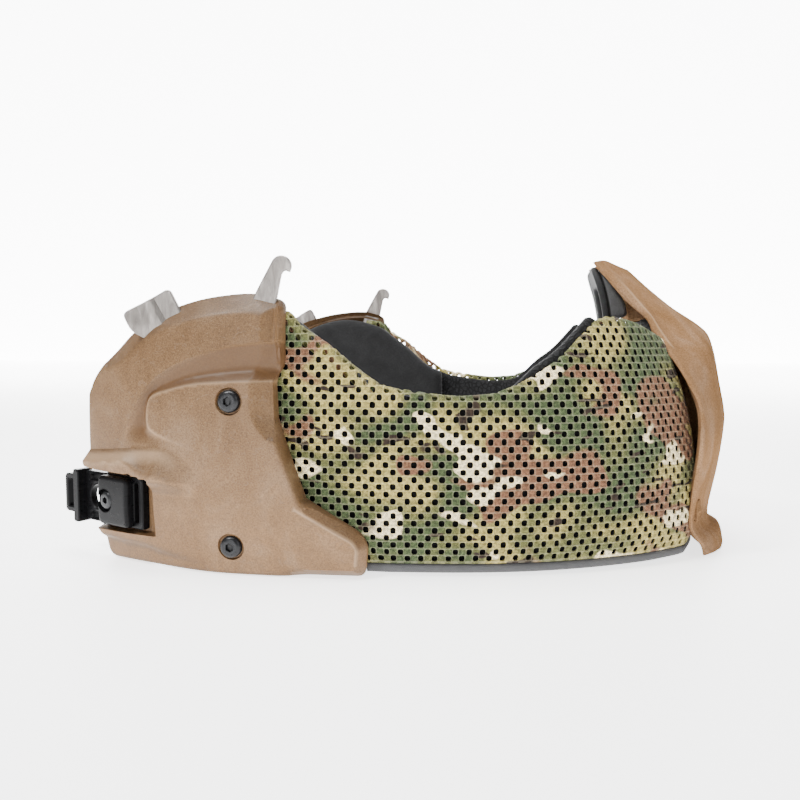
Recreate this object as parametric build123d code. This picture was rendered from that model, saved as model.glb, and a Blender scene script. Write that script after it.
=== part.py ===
from build123d import *
import os
from math import cos, radians, sin

# A helmet-mounted lower-face guard: two rigid cheek shells with steel helmet hooks, a soft mesh
# cover with a padded lining between them, and a moulded nose and mouth guard at the front.
#
# Frame: origin at the middle of the footprint, on the surface that the mask stands on.
# +X is forward, +Z is up and +Y is the wearer's left. The wearer's right side is modelled
# and mirrored in the XZ plane for the left. All sizes are in millimetres.

# ---- Driving dimensions -------------------------------------------------------------------
HALF_WIDTH = 92.0          # outermost point of a cheek shell
SHELL_WALL = 3.0           # moulded wall of the cheek shells
SHELL_MID_X = -48.0        # where a shell is widest, seen from above
SHELL_MID_Z = 47.0         # where a shell is widest, seen from behind
BOW_REAR = 0.0038          # inward curve of a shell behind its widest point, per mm squared
BOW_FRONT = 0.0012         # and in front of it
BOW_UP = 0.0027            # above it
BOW_DOWN = 0.0021          # and below it
RIM_Y = 81.8               # where a shell's rim ends, next to the cloth
CLOTH_Y = 81.6             # outer face of the cloth under a shell
CLOTH_WALL = 1.2
LINER_WALL = 3.5
BRACKET_WALL = 1.5         # steel of the helmet hooks
BACKING_WALL = 2.5
HINGE_X, HINGE_Y = 4.0, 81.0   # upright line where each soft cheek bends
HINGE_GAP = 3.0            # room on each side of that line
SCREWS = ((-47.3, 59.0), (-48.3, 10.0))  # shell screws, X and Z
SCREW_R = 2.0              # M4
HEAD_R, HEAD_H = 3.8, 2.2
BINDING_Z = 2.4            # the edging hangs this far above the floor
BINDING_H = 2.4            # height of the edging under the cloth
CLOTH_FOOT = BINDING_Z + BINDING_H + 0.1
CAVITY = 60.0              # how far cutters reach inward of a shell
SIDE_REACH = 130.0         # longer than anything is wide
GUARD_WALL = 3.2
ANCHOR_ANGLE = 24.0        # how far a strap anchor turns in behind the head
ANCHOR_AT = (-97.0, -74.5, 22.0)  # middle of the anchor screw on the pocket floor

os.makedirs("parts", exist_ok=True)


def save(name, shape):
    export_step(shape, f"parts/{name}.step")


def save_pair(name, shape):
    """Writes the right piece and its mirror image for the left side."""
    save("right_" + name, shape)
    save("left_" + name, mirror(shape, about=Plane.XZ))


def outline(*curves):
    """A face in the XZ plane inside a closed chain of curves drawn in X and Z."""
    return Plane.XZ * make_face(Curve() + list(curves))


def inset(face, distance):
    """The inside of a face's outline, drawn as one smooth closed curve."""
    wire = offset(face, amount=-distance).face().outer_wire()
    count = 72
    return make_face(Spline([wire @ (i / count) for i in range(count)], periodic=True))


def prism(face, y_from, y_to):
    """A face of the XZ plane as a block between two distances out from the middle plane."""
    return Pos(0, -y_from, 0) * extrude(face, amount=y_to - y_from)


def disc(x, z, radius, y_from, y_to):
    """A round bar across the mask, between two distances out from the middle plane."""
    return Pos(x, -y_from, z) * extrude(Plane.XZ * Circle(radius), amount=y_to - y_from)


# ---- Cheek shells ---------------------------------------------------------------------------
def shell_y(x, z):
    """How far out the outer surface of a shell stands at X and Z."""
    along = BOW_REAR if x < SHELL_MID_X else BOW_FRONT
    across = BOW_DOWN if z < SHELL_MID_Z else BOW_UP
    return HALF_WIDTH - along * (x - SHELL_MID_X) ** 2 - across * (z - SHELL_MID_Z) ** 2


def shell_layer(depth_from, depth_to):
    """The curved layer between two depths under a shell's outer surface."""
    xs = [-112 + 8 * i for i in range(15)]
    zs = [-8 + 9 * i for i in range(13)]
    grid = [[(x, depth_from - shell_y(x, z), z) for z in zs] for x in xs]
    skin = Face.make_surface_from_array_of_points(grid, tol=0.02)
    return Solid.extrude(skin, Vector(0, depth_to - depth_from, 0))


def shell_outline():
    crown = Spline((-105.5, 60), (-94.5, 75.5), (-76.5, 88), (-58, 93.4), (-40, 94.6))
    brow = FilletPolyline((-40, 94.6), (-30.6, 92.0), (-31, 71), (-34, 66), (-33.4, 53), radius=2.2)
    jaw = Spline((-33.4, 53), (-31.2, 46), (-27, 34), (-24, 26))
    foot = FilletPolyline(
        (-24, 26), (-5, 15), (-2.6, 11), (-4, 0), (-55, 0), (-78, 1.4), (-98, 1.8), (-102, 12), radius=2.2
    )
    pocket = FilletPolyline((-102, 12), (-104, 33), (-106.5, 35.5), (-105.5, 40), (-105.5, 60), radius=0.8)
    return outline(crown, brow, jaw, foot, pocket)


def anchor_plane():
    """X forward along the strap anchor, Z out of the pocket floor, origin at the anchor screw."""
    a = radians(ANCHOR_ANGLE)
    return Plane(origin=ANCHOR_AT, x_dir=(cos(a), -sin(a), 0), z_dir=(-sin(a), -cos(a), 0))


POCKET_FRONT, POCKET_REAR, POCKET_HALF = 19.5, -24.0, 10.6


def pocket_block(grow, low, high):
    """The pocket for a strap anchor as a block, larger all round by grow."""
    length = POCKET_FRONT - POCKET_REAR + 2 * grow
    middle = (POCKET_FRONT + POCKET_REAR) / 2
    block = Box(length, 2 * (POCKET_HALF + grow), high - low)
    return anchor_plane().location * Pos(middle, 0, (low + high) / 2) * block


def crown_band():
    """The sunk band that follows the crown of a shell."""
    outer = Spline((-101, 57), (-93, 72), (-76, 84.5), (-57, 88.5), (-34.5, 88.5))
    front = Line((-34.5, 88.5), (-34.5, 79))
    inner = Spline((-34.5, 79), (-53, 77), (-66, 72), (-76, 66), (-84, 54))
    return outline(outer, front, inner, Line((-84, 54), (-101, 57)))


def gusset():
    """The raised ledge over the pocket."""
    return outline(Polyline((-105, 40), (-76, 43), (-64, 39.5), (-56, 31.7), (-80, 32.6), (-104, 34.4), (-105, 40)))


def cheek_shell():
    edge = shell_outline()
    block = prism(edge, RIM_Y, HALF_WIDTH + 8)
    hollow = inset(edge, SHELL_WALL)
    inside = prism(hollow, RIM_Y, HALF_WIDTH + 8)
    rear = prism(outline(Polyline((-112, -4), (-84, -4), (-84, 104), (-112, 104), (-112, -4))), 0, SIDE_REACH)
    deep = prism(edge, RIM_Y - 14, HALF_WIDTH + 8)
    skin = deep & shell_layer(0, SHELL_WALL)
    rim = (block - inside) & shell_layer(0, CAVITY)
    rear_rim = (deep & rear) - prism(hollow, 0, SIDE_REACH)
    rear_rim = rear_rim & shell_layer(0, 9)
    shell = skin + rim + rear_rim
    shell -= prism(crown_band(), 0, SIDE_REACH) & shell_layer(-2, 1)
    shell += prism(gusset(), 0, SIDE_REACH) & shell_layer(-2.4, 1.5)
    tray = (pocket_block(SHELL_WALL, -SHELL_WALL, 20) & deep) & shell_layer(0, CAVITY)
    shell = shell + tray - pocket_block(0, 0, 40)
    for x, z in SCREWS:
        face_y = shell_y(x, z)
        shell += disc(x, z, 5.5, CLOTH_Y + 0.1 + BRACKET_WALL, face_y - SHELL_WALL / 2)
        shell -= disc(x, z, HEAD_R + 0.6, face_y - 0.9, SIDE_REACH)
        shell -= disc(x, z, SCREW_R + 0.15, 0, SIDE_REACH)
    slots = prism(inset(bracket_face(), -1.1), 0, CLOTH_Y + 0.8 + BRACKET_WALL)
    shell -= slots & (Pos(-60, -HALF_WIDTH, 96) * Box(80, 60, 36))
    shell -= anchor_plane().location * Cylinder(SCREW_R + 0.15, 20)
    return shell


# ---- Steel helmet bracket ---------------------------------------------------------------------
def bracket_face():
    """Front hook, rear tab and the web that both shell screws go through, in one plate."""
    hook = outline(
        Line((-52, 66), (-44, 86)),
        Line((-44, 86), (-41, 94.5)),
        Line((-41, 94.5), (-35.4, 104.6)),
        ThreePointArc((-35.4, 104.6), (-31.6, 107.0), (-28.4, 104.2)),
        Line((-28.4, 104.2), (-29.0, 101.2)),
        ThreePointArc((-29.0, 101.2), (-30.6, 102.4), (-31.6, 101.2)),
        Line((-31.6, 101.2), (-33.6, 92)),
        Line((-33.6, 92), (-36, 80)),
        Line((-36, 80), (-40, 60)),
        Line((-40, 60), (-52, 66)),
    )
    tab = outline(
        FilletPolyline(
            (-55, 66), (-84.2, 81.8), (-87.2, 88.2), (-71.8, 96.8), (-68.2, 90), (-64, 80), (-44, 62), radius=1.4
        ),
        Line((-44, 62), (-55, 66)),
    )
    hub = Plane.XZ * Pos(*SCREWS[0]) * Circle(9)
    strap = outline(Polyline((-53.5, 56), (-53.5, 12), (-43, 12), (-41, 56), (-53.5, 56)))
    toe = Plane.XZ * Pos(*SCREWS[1]) * Circle(6)
    return hook + tab + hub + strap + toe


def hook_bracket():
    plate = prism(bracket_face(), CLOTH_Y + 0.1, CLOTH_Y + 0.1 + BRACKET_WALL)
    for x, z in SCREWS:
        plate -= disc(x, z, SCREW_R + 0.15, 0, SIDE_REACH)
    return plate


# ---- Fasteners --------------------------------------------------------------------------------
def button_head(radius, height):
    """A domed head on Z = 0 with a hexagon socket, pointing up."""
    crown = radius * 0.62
    side = Polyline((0, 0), (radius, 0), (radius, 0.25 * height))
    dome = ThreePointArc((radius, 0.25 * height), (0.86 * radius, 0.74 * height), (crown, height))
    half = make_face(Curve() + [side, dome, Polyline((crown, height), (0, height), (0, 0))])
    head = revolve(Plane.XZ * half, axis=Axis.Z)
    socket = extrude(RegularPolygon(radius * 0.36, 6), amount=0.65 * height)
    return head - Pos(0, 0, 0.45 * height) * socket


def shell_screw(x, z):
    seat = shell_y(x, z) - 0.9
    length = seat - (CLOTH_Y - CLOTH_WALL - BACKING_WALL - 1.0)
    screw = button_head(HEAD_R, HEAD_H) + Pos(0, 0, -length / 2) * Cylinder(SCREW_R - 0.05, length)
    return Plane(origin=(x, -seat, z), x_dir=(1, 0, 0), z_dir=(0, -1, 0)).location * screw


def shell_nut(x, z):
    """A flanged insert that sits in the backing plate from the head side."""
    flange_y = CLOTH_Y - CLOTH_WALL - BACKING_WALL - 0.1
    nut = disc(x, z, 5.5, flange_y - 1.2, flange_y) + disc(x, z, 2.8, flange_y - 1.2, flange_y + BACKING_WALL)
    return nut - disc(x, z, SCREW_R, 0, SIDE_REACH)


# ---- Inside of a cheek --------------------------------------------------------------------------
def backing_plate():
    out = CLOTH_Y - CLOTH_WALL - 0.1
    plate = prism(outline(FilletPolyline(
        (-59, 3), (-37, 3), (-37, 70), (-59, 70), radius=4, close=True)), out - BACKING_WALL, out)
    for x, z in SCREWS:
        plate -= disc(x, z, 2.9, 0, SIDE_REACH)
    return plate


def slope_top(drop):
    """The sloping upper edge of the cloth beside a shell, lowered by drop."""
    return Spline((-31, 88.5 - drop), (-16, 77.5 - drop), (-6, 69 - drop), (1, 64.5 - drop))


def cloth_margin():
    """The edge of the cover that a shell and its backing plate clamp."""
    face = outline(
        slope_top(0), Polyline((1, 64.5), (1, CLOTH_FOOT), (-62, CLOTH_FOOT), (-62, 86), (-31, 88.5)))
    margin = prism(face, CLOTH_Y - CLOTH_WALL, CLOTH_Y)
    for x, z in SCREWS:
        margin -= disc(x, z, SCREW_R + 0.3, 0, SIDE_REACH)
    return margin


def ear_pad():
    """The smooth padded face that lies against the head, inside a shell."""
    face = outline(
        Spline((-82, 70), (-74, 82), (-60, 88.5), (-46, 90), (-31, 85.5)),
        Spline((-31, 85.5), (-16, 75), (-7, 67), (1, 62)),
        Polyline((1, 62), (1, 4.5), (-82, 4.5), (-82, 70)),
    )
    pad = prism(face, 65.5, 76.0)
    return fillet(pad.faces().sort_by(Axis.Y)[-1].edges(), 3.0)


# ---- Strap anchors ------------------------------------------------------------------------------
TRACK_H = 3.0
SLOT_HALF = 4.6
TRACK_HALF = 9.2


def rounded_block(length, width, height, radius):
    return extrude(RectangleRounded(length, width, radius), amount=height)


def anchor_track():
    """The sliding plate with its long slot, end flange and strap loop."""
    plate = Pos(0.5, 0, 0) * rounded_block(33, 2 * TRACK_HALF, TRACK_H, 1.2)
    slot = Pos(-1.5, 0, -1) * extrude(SlotOverall(23, 2 * SLOT_HALF), amount=10)
    window = Pos(13.4, 0, -1) * rounded_block(2.4, 14, 10, 0.5)
    plate = plate - slot - window
    for side in (-1, 1):
        groove = Pos(-3, side * 7.0, TRACK_H - 1.2) * rounded_block(19, 1.8, 3, 0.8)
        plate -= groove
    flange = Pos(-17, 0, 0) * rounded_block(3.2, 19.6, 6.5, 0.8)
    loop = Pos(-22.5, 0, 0.8) * rounded_block(10.5, 14.5, 3.0, 1.6)
    loop -= Pos(-22.6, 0, -1) * rounded_block(6.4, 10.6, 10, 0.6)
    return anchor_plane().location * (plate + flange + loop)


def strap_bar():
    """The toothed bar in the strap loop that bites the strap."""
    length = 10.6
    bar = Pos(-22.0, 0, 2.3) * Rot(90, 0, 0) * Cylinder(0.9, length)
    for i in range(8):
        tooth = Pos(-22.0, -length / 2 + 0.95 + 1.24 * i, 3.0) * Box(1.3, 0.6, 0.9)
        bar += tooth
    return anchor_plane().location * bar


CLAMP_LOW, CLAMP_H = TRACK_H + 0.1, 3.2


def clamp_plate():
    """The outer plate that pinches the track, with a boss that guides its slot."""
    plate = Pos(4.0, 0, CLAMP_LOW) * rounded_block(16.5, 17.6, CLAMP_H, 2.0)
    plate = fillet(plate.faces().sort_by(Axis.Z)[-1].edges(), 1.0)
    plate -= Pos(0, 0, CLAMP_LOW + CLAMP_H - 1.8) * extrude(Circle(4.2), amount=5)
    boss = Pos(0, 0, 0.2) * extrude(Circle(SLOT_HALF - 0.2), amount=CLAMP_LOW - 0.2)
    plate = plate + boss - Cylinder(SCREW_R + 0.15, 40)
    return anchor_plane().location * plate


def anchor_screw():
    length = 12.0
    seat = CLAMP_LOW + CLAMP_H - 1.8
    screw = button_head(3.4, 1.7) + Pos(0, 0, -length / 2) * Cylinder(SCREW_R - 0.05, length)
    return anchor_plane().location * Pos(0, 0, seat) * screw


def anchor_nut():
    nut = extrude(RegularPolygon(4.0, 6), amount=-3.0) - Cylinder(SCREW_R, 20)
    return anchor_plane().location * Pos(0, 0, -SHELL_WALL) * nut


# ---- Soft cover and lining ------------------------------------------------------------------------
FRONT_X = 107.2            # front edge of the cover at the bottom
LEAN = 15.0                # how far that edge has come back at LEAN_TOP
LEAN_FROM, LEAN_TOP = 18.0, 83.0
LEAN_CURVE = 2.3
MOUTH_HALF = 33.0          # half the width of the mesh across the mouth


def plan():
    """The foot of the soft cheek seen from above, from the bend line to the front edge."""
    return Spline((HINGE_X + HINGE_GAP, -80.8), (30, -77.3), (52, -71.5), (72, -63), (90, -52.5), (101, -43.5),
                  (FRONT_X, -37.2))


def lean(z):
    return LEAN * (max(0.0, z - LEAN_FROM) / (LEAN_TOP - LEAN_FROM)) ** LEAN_CURVE


def cheek_wall(depth, thickness):
    """A curved upright layer of the soft cheek, depth under its outer face."""
    path = plan()
    rows = []
    for i in range(13):
        u = i / 12
        at, along = path.position_at(u), path.tangent_at(u)
        inward = Vector(-along.Y, along.X)
        foot = at + inward * depth
        heights = [CLOTH_FOOT + 8.7 * j for j in range(11)]
        rows.append([(foot.X - lean(z) * u * u, foot.Y, z) for z in heights])
    skin = Face.make_surface_from_array_of_points(rows, tol=0.02)
    wall = Solid.thicken(skin, thickness)
    if wall.bounding_box().max.Y < skin.bounding_box().max.Y + thickness / 2:
        wall = Solid.thicken(skin, -thickness)
    return wall


def cheek_top(rise, front_rise):
    """Everything under the dipping top edge of the cheek, as a block across the side."""
    edge = Spline((-4, 66 + rise), (7, 62.6 + rise), (24, 60.4 + rise), (36, 61 + rise), (49, 65.8 + front_rise),
                  (60, 73 + front_rise), (71, 84.4 + front_rise), (78, 86.6 + front_rise), (93, 81.5 + front_rise))
    low = Polyline((93, 81.5 + front_rise), (130, 78), (130, -5), (-4, -5), (-4, 66 + rise))
    return prism(outline(edge, low), 0, SIDE_REACH)


def camo_panel():
    return cheek_wall(0.0, CLOTH_WALL) & cheek_top(0, -0.6)


def cheek_liner():
    return cheek_wall(CLOTH_WALL + 0.6, LINER_WALL) & cheek_top(-1.0, 0.0)


def mouth_mesh():
    """The black breathing panel across the mouth, behind the guard."""
    rows = []
    for i in range(-6, 7):
        s = i / 6
        heights = [CLOTH_FOOT + 7.3 * j for j in range(11)]
        rows.append([(FRONT_X - 0.4 - lean(z) + 5.6 * (1 - s * s), MOUTH_HALF * s, z) for z in heights])
    skin = Face.make_surface_from_array_of_points(rows, tol=0.02)
    return Solid.extrude(skin, Vector(-LINER_WALL, 0, 0))


def bottom_binding():
    """The edging that runs round the foot of the cover from one bend line to the other."""
    right = plan()
    front = ThreePointArc(right @ 1, (FRONT_X + 5.4, 0, 0), mirror(right, about=Plane.XZ) @ 1)
    inner_points = []
    for i in range(9):
        u = i / 8
        along = right.tangent_at(u)
        inner_points.append((right @ u) + Vector(-along.Y, along.X) * 4.6)
    inner = Spline(*inner_points)
    inner_front = ThreePointArc(inner @ 1, (FRONT_X + 0.6, 0, 0), mirror(inner, about=Plane.XZ) @ 1)
    sides = [right, mirror(right, about=Plane.XZ), inner, mirror(inner, about=Plane.XZ), front, inner_front]
    ends = [Line(right @ 0, inner @ 0), mirror(Line(right @ 0, inner @ 0), about=Plane.XZ)]
    return Pos(0, 0, BINDING_Z) * extrude(make_face(Curve() + sides + ends), amount=BINDING_H)


# ---- Nose and mouth guard ---------------------------------------------------------------------------
# Height, X at the middle, X at the side edge, and half the width, from the top down.
GUARD_STATIONS = (
    (111.0, 79.0, 76.6, 14.0),
    (107.5, 86.6, 79.0, 16.5),
    (100.0, 95.4, 84.0, 20.5),
    (92.0, 105.2, 90.2, 25.5),
    (85.0, 113.6, 95.2, 30.5),
    (78.5, 118.8, 98.6, 35.5),
    (71.0, 121.0, 103.6, 40.0),
    (63.5, 122.6, 109.6, 43.4),
    (52.0, 123.8, 112.4, 44.5),
    (40.0, 123.2, 112.4, 44.0),
    (27.0, 120.6, 111.0, 42.5),
    (15.0, 118.0, 110.4, 40.6),
    (9.0, 120.6, 111.4, 39.5),
    (4.0, 124.0, 113.2, 37.6),
    (0.0, 122.6, 114.6, 34.0),
)
ARCH_SHARPNESS = 1.5       # 2 is a round section, 1 a plain ridge


def front_guard(wall=GUARD_WALL):
    rows = []
    for z, middle, side, half in GUARD_STATIONS:
        across = [i / 8 for i in range(-8, 9)]
        rows.append([(side + (middle - side) * (1 - abs(s) ** ARCH_SHARPNESS), half * s, z) for s in across])
    skin = Face.make_surface_from_array_of_points(rows, tol=0.05)
    return Solid.extrude(skin, Vector(-wall, 0, 0))


def guard_bracket():
    """The wedge that ties the guard to the nose pad's frame."""
    side = outline(Polyline((87.0, 88.0), (95.5, 88.5), (92.4, 94.5), (84.6, 97.0), (87.0, 88.0)))
    return extrude(side, amount=12, both=True)


def guard_clip():
    """A small clip that holds a lower corner of the guard to the front edge of the cover."""
    path = plan()
    at, along = path.position_at(0.965), path.tangent_at(0.965)
    seat = Plane(origin=(at.X, at.Y, 17.0), x_dir=(along.X, along.Y, 0), z_dir=(0, 0, 1))
    return seat.location * Pos(0, -1.2, 0) * Box(4.4, 1.4, 8.0)


# ---- Nose pad ---------------------------------------------------------------------------------------
NOSE_TILT = -17.0
NOSE_AT = (78.0, 0, 86.0)
NOSE_HALF, NOSE_GAP, NOSE_TALL = 19.0, 11.5, 22.0


def nose_arch(thickness, spread):
    """An arch over the nose, drawn upright facing +X and then leaned back."""
    outer = Pos(0, NOSE_TALL / 2) * RectangleRounded(2 * NOSE_HALF + 2 * spread, NOSE_TALL, 8.0)
    gap = Pos(0, NOSE_TALL / 2 - 8) * RectangleRounded(2 * NOSE_GAP, NOSE_TALL, 6.0)
    arch = extrude(Plane.YZ * (outer - gap), amount=thickness)
    return arch


def nose_frame():
    arch = Pos(2.2, 0, 0) * nose_arch(5.4, 0.0)
    leaned = Pos(*NOSE_AT) * Rot(0, NOSE_TILT, 0) * arch - front_guard(GUARD_WALL + 0.4)
    return leaned.solids().sort_by(SortBy.VOLUME)[-1]


def nose_cushion():
    arch = Pos(-0.2, 0, 0) * nose_arch(2.2, 0.6)
    return Pos(*NOSE_AT) * Rot(0, NOSE_TILT, 0) * arch


# ---- Hand-in ----------------------------------------------------------------------------------------
save_pair("shell", cheek_shell())
save_pair("hook_bracket", hook_bracket())
save_pair("backing_plate", backing_plate())
save_pair("shell_screws", Compound([shell_screw(x, z) for x, z in SCREWS]))
save_pair("shell_nuts", Compound([shell_nut(x, z) for x, z in SCREWS]))
save_pair("cloth_margin", cloth_margin())
save_pair("ear_pad", ear_pad())
save_pair("anchor_track", anchor_track())
save_pair("strap_bar", strap_bar())
save_pair("clamp_plate", clamp_plate())
save_pair("anchor_screw", anchor_screw())
save_pair("anchor_nut", anchor_nut())
save_pair("camo_panel", camo_panel())
save_pair("cheek_liner", cheek_liner())
save_pair("guard_clip", guard_clip())
save("mouth_mesh", mouth_mesh())
save("bottom_binding", bottom_binding())
save("front_guard", front_guard())
save("guard_bracket", guard_bracket())
save("nose_frame", nose_frame())
save("nose_cushion", nose_cushion())
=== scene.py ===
"""Looks for the lower-face mask: every visible piece is built here in millimetres, in the CAD's frame."""
import math

import bpy
import numpy as np
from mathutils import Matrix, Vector
from mathutils.geometry import delaunay_2d_cdt


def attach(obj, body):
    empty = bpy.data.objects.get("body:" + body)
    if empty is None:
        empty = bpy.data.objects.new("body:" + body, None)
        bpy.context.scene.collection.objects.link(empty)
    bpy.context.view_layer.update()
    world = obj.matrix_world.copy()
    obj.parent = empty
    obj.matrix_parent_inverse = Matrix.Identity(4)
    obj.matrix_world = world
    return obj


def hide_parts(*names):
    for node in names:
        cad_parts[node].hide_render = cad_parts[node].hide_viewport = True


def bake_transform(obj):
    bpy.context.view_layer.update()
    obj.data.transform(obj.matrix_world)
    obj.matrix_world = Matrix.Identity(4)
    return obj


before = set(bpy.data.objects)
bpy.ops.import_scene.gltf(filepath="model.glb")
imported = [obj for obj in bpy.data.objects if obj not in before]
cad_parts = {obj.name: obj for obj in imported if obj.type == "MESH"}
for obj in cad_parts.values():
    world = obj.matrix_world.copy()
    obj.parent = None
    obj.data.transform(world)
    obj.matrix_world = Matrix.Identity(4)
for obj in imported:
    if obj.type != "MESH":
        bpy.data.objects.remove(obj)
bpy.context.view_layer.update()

MM = 0.001
SIDES = (("right", 1.0), ("left", -1.0))  # the right side is modelled, and the left mirrors it in Y


# ---- Camera, floor and light --------------------------------------------------------------
def make_camera():
    data = bpy.data.cameras.new("camera")
    data.lens, data.sensor_width = 35.3, 36.0
    data.clip_start = 0.01
    camera = bpy.data.objects.new("camera", data)
    camera.location = Vector((54.5, -332.8, 78.3)) * MM
    turn, dip = math.radians(10.5), math.radians(4.2)
    ahead = Vector((-math.sin(turn) * math.cos(dip), math.cos(turn) * math.cos(dip), -math.sin(dip)))
    camera.rotation_euler = ahead.to_track_quat("-Z", "Y").to_euler()
    bpy.context.scene.collection.objects.link(camera)
    bpy.context.scene.camera = camera


def area_light(name, place, aim, size, power):
    data = bpy.data.lights.new(name, "AREA")
    data.shape, data.size, data.energy = "DISK", size, power
    light = bpy.data.objects.new(name, data)
    light.location = place
    light.rotation_euler = (Vector(aim) - Vector(place)).to_track_quat("-Z", "Y").to_euler()
    bpy.context.scene.collection.objects.link(light)


def make_studio():
    """A white table running up to a glowing backdrop, a soft box overhead and a harder key light. The table
    glows too, faintly in front of and round the mask and more towards the backdrop.
    """
    world = bpy.data.worlds.new("studio")
    world.use_nodes = True
    back = world.node_tree.nodes["Background"]
    back.inputs["Color"].default_value = (1.0, 1.0, 1.0, 1.0)
    back.inputs["Strength"].default_value = 0.42
    bpy.context.scene.world = world
    area_light("top_light", (-0.1, 0.0, 0.95), (0, 0, 0.04), 0.6, 16.0)
    area_light("key_light", (-0.5, -0.5, 0.9), (-0.02, -0.05, 0.05), 0.2, 12.0)
    area_light("front_light", (-0.25, -1.0, 0.25), (-0.03, -0.08, 0.03), 0.4, 3.0)
    area_light("right_light", (0.9, -0.45, 0.55), (0.1, 0, 0.05), 0.4, 2.5)
    white, glow = Shader("studio_white"), Shader("backdrop_glow")
    for finish, grey in ((white, 0.93), (glow, 0.9)):
        finish.bsdf.inputs["Base Color"].default_value = (grey, grey, grey, 1)
        finish.bsdf.inputs["Emission Color"].default_value = (1.0, 1.0, 1.0, 1)
    # The table glows as a light: less in front and near the mask, and more towards the backdrop.
    away = white.split(white.place())[1]
    glow_share = white.ramp(white.math("DIVIDE", away, 3000.0), [(0.04, 0.32), (0.45, 1.0)], smooth=True)
    white.link(white.math("MULTIPLY", glow_share, 7.0), white.bsdf.inputs["Emission Strength"])
    glow.bsdf.inputs["Emission Strength"].default_value = 8.0
    wide, back, high, left, right = 6.0, 3.0, 1.7, -2.8, 1.3
    floor = [(-wide, -wide, 0), (wide, -wide, 0), (wide, back, 0), (-wide, back, 0)]
    backdrop = [(left, back, 0), (right, back, 0), (right, back, high), (left, back, high)]
    for name, corners, finish in (("floor", floor, white), ("backdrop", backdrop, glow)):
        mesh = bpy.data.meshes.new(name)
        mesh.from_pydata(corners, [], [(0, 1, 2, 3)])
        mesh.materials.append(finish.material)
        panel = bpy.data.objects.new(name, mesh)
        panel.location.z = -0.0002
        bpy.context.scene.collection.objects.link(panel)


# ---- Shader helper ------------------------------------------------------------------------
class Shader:
    """A material with short calls for the nodes that this scene uses."""

    def __init__(self, name, roughness=0.5, metallic=0.0, sheen=0.0, specular=0.5):
        self.material = bpy.data.materials.new(name)
        self.material.use_nodes = True
        self.tree = self.material.node_tree
        self.bsdf = self.tree.nodes["Principled BSDF"]
        for value, name in ((roughness, "Roughness"), (metallic, "Metallic"), (sheen, "Sheen Weight"),
                            (specular, "Specular IOR Level")):
            self.bsdf.inputs[name].default_value = value

    def link(self, value, socket):
        if isinstance(value, bpy.types.NodeSocket):
            self.tree.links.new(value, socket)
        else:
            socket.default_value = value

    def node(self, kind, sockets=(), **settings):
        """The outputs of a new node, with a value or a link for each of the given sockets."""
        node = self.tree.nodes.new(f"ShaderNode{kind}")
        for name, value in settings.items():
            setattr(node, name, value)
        for key, value in dict(sockets).items():
            self.link(value, node.inputs[key])
        return node.outputs

    def place(self):
        """Place in millimetres, the same on a piece in any pose at rest."""
        return self.stretch(self.node("TexCoord")["Object"], (1000.0, 1000.0, 1000.0))

    def cloth_place(self):
        """Place on flat cloth, in millimetres along it and up it."""
        return self.stretch(self.node("UVMap", uv_map="cloth")[0], (1000.0, 1000.0, 1000.0))

    def facing_up(self):
        """1 where the surface faces up, 0 where it is upright and -1 where it faces down."""
        return self.split(self.node("TexCoord")["Normal"])[2]

    def painted(self, name):
        """A value painted on a piece's points, or 0 on a piece without it."""
        return self.node("Attribute", attribute_name=name)["Fac"]

    def stretch(self, vector, by, shift=(0.0, 0.0, 0.0)):
        return self.node("VectorMath", {0: vector, 1: by, 2: shift}, operation="MULTIPLY_ADD")[0]

    def noise(self, vector, size, detail=2.0, distortion=0.0, rough=0.5):
        sockets = {"Vector": vector, "Scale": 1.0 / size, "Detail": detail, "Roughness": rough}
        return self.node("TexNoise", {**sockets, "Distortion": distortion})[0]

    def cell_edges(self, vector, size):
        """Distance from the nearest wall of a net of irregular cells."""
        sockets = {"Vector": vector, "Scale": 1.0 / size}
        return self.node("TexVoronoi", sockets, feature="DISTANCE_TO_EDGE")["Distance"]

    def ramp(self, value, stops, smooth=False):
        node = self.tree.nodes.new("ShaderNodeValToRGB")
        node.color_ramp.interpolation = "EASE" if smooth else "LINEAR"
        marks = node.color_ramp.elements
        while len(marks) < len(stops):
            marks.new(0.5)
        for mark, (at, shade) in zip(marks, stops):
            mark.position = at
            colour = (shade,) * 3 if isinstance(shade, (int, float)) else shade
            mark.color = (*colour, 1.0)
        self.link(value, node.inputs[0])
        return node.outputs[0]

    def math(self, operation, a, b=0.0, c=0.0):
        return self.node("Math", {0: a, 1: b, 2: c}, operation=operation)[0]

    def mix(self, share, a, b, blend="MIX"):
        first, second = ((*value, 1.0) if isinstance(value, tuple) else value for value in (a, b))
        sockets = {"Factor": share, 6: first, 7: second}
        return self.node("Mix", sockets, data_type="RGBA", blend_type=blend)[2]

    def times(self, a, b):
        return self.mix(1.0, a, b, "MULTIPLY")

    def split(self, vector):
        return self.node("SeparateXYZ", {0: vector})

    def weave(self, across, up, pitch_across, pitch_up):
        """0 to 1 in a chequer of small swells."""
        waves = [self.math("SINE", self.math("MULTIPLY", value, 2 * math.pi / pitch))
                 for value, pitch in ((across, pitch_across), (up, pitch_up))]
        return self.math("MULTIPLY_ADD", self.math("MULTIPLY", *waves), 0.5, 0.5)

    def bump(self, height, depth_mm, strength, after=None):
        sockets = {"Strength": strength, "Distance": depth_mm * MM, "Height": height}
        return self.node("Bump", sockets if after is None else {**sockets, "Normal": after})[0]

    def finish(self, colour, roughness, normal):
        """The finished material. Where roughness is None it is the same all over."""
        for value, name in ((colour, "Base Color"), (roughness, "Roughness"), (normal, "Normal")):
            if value is not None:
                self.tree.links.new(value, self.bsdf.inputs[name])
        return self.material


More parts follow.
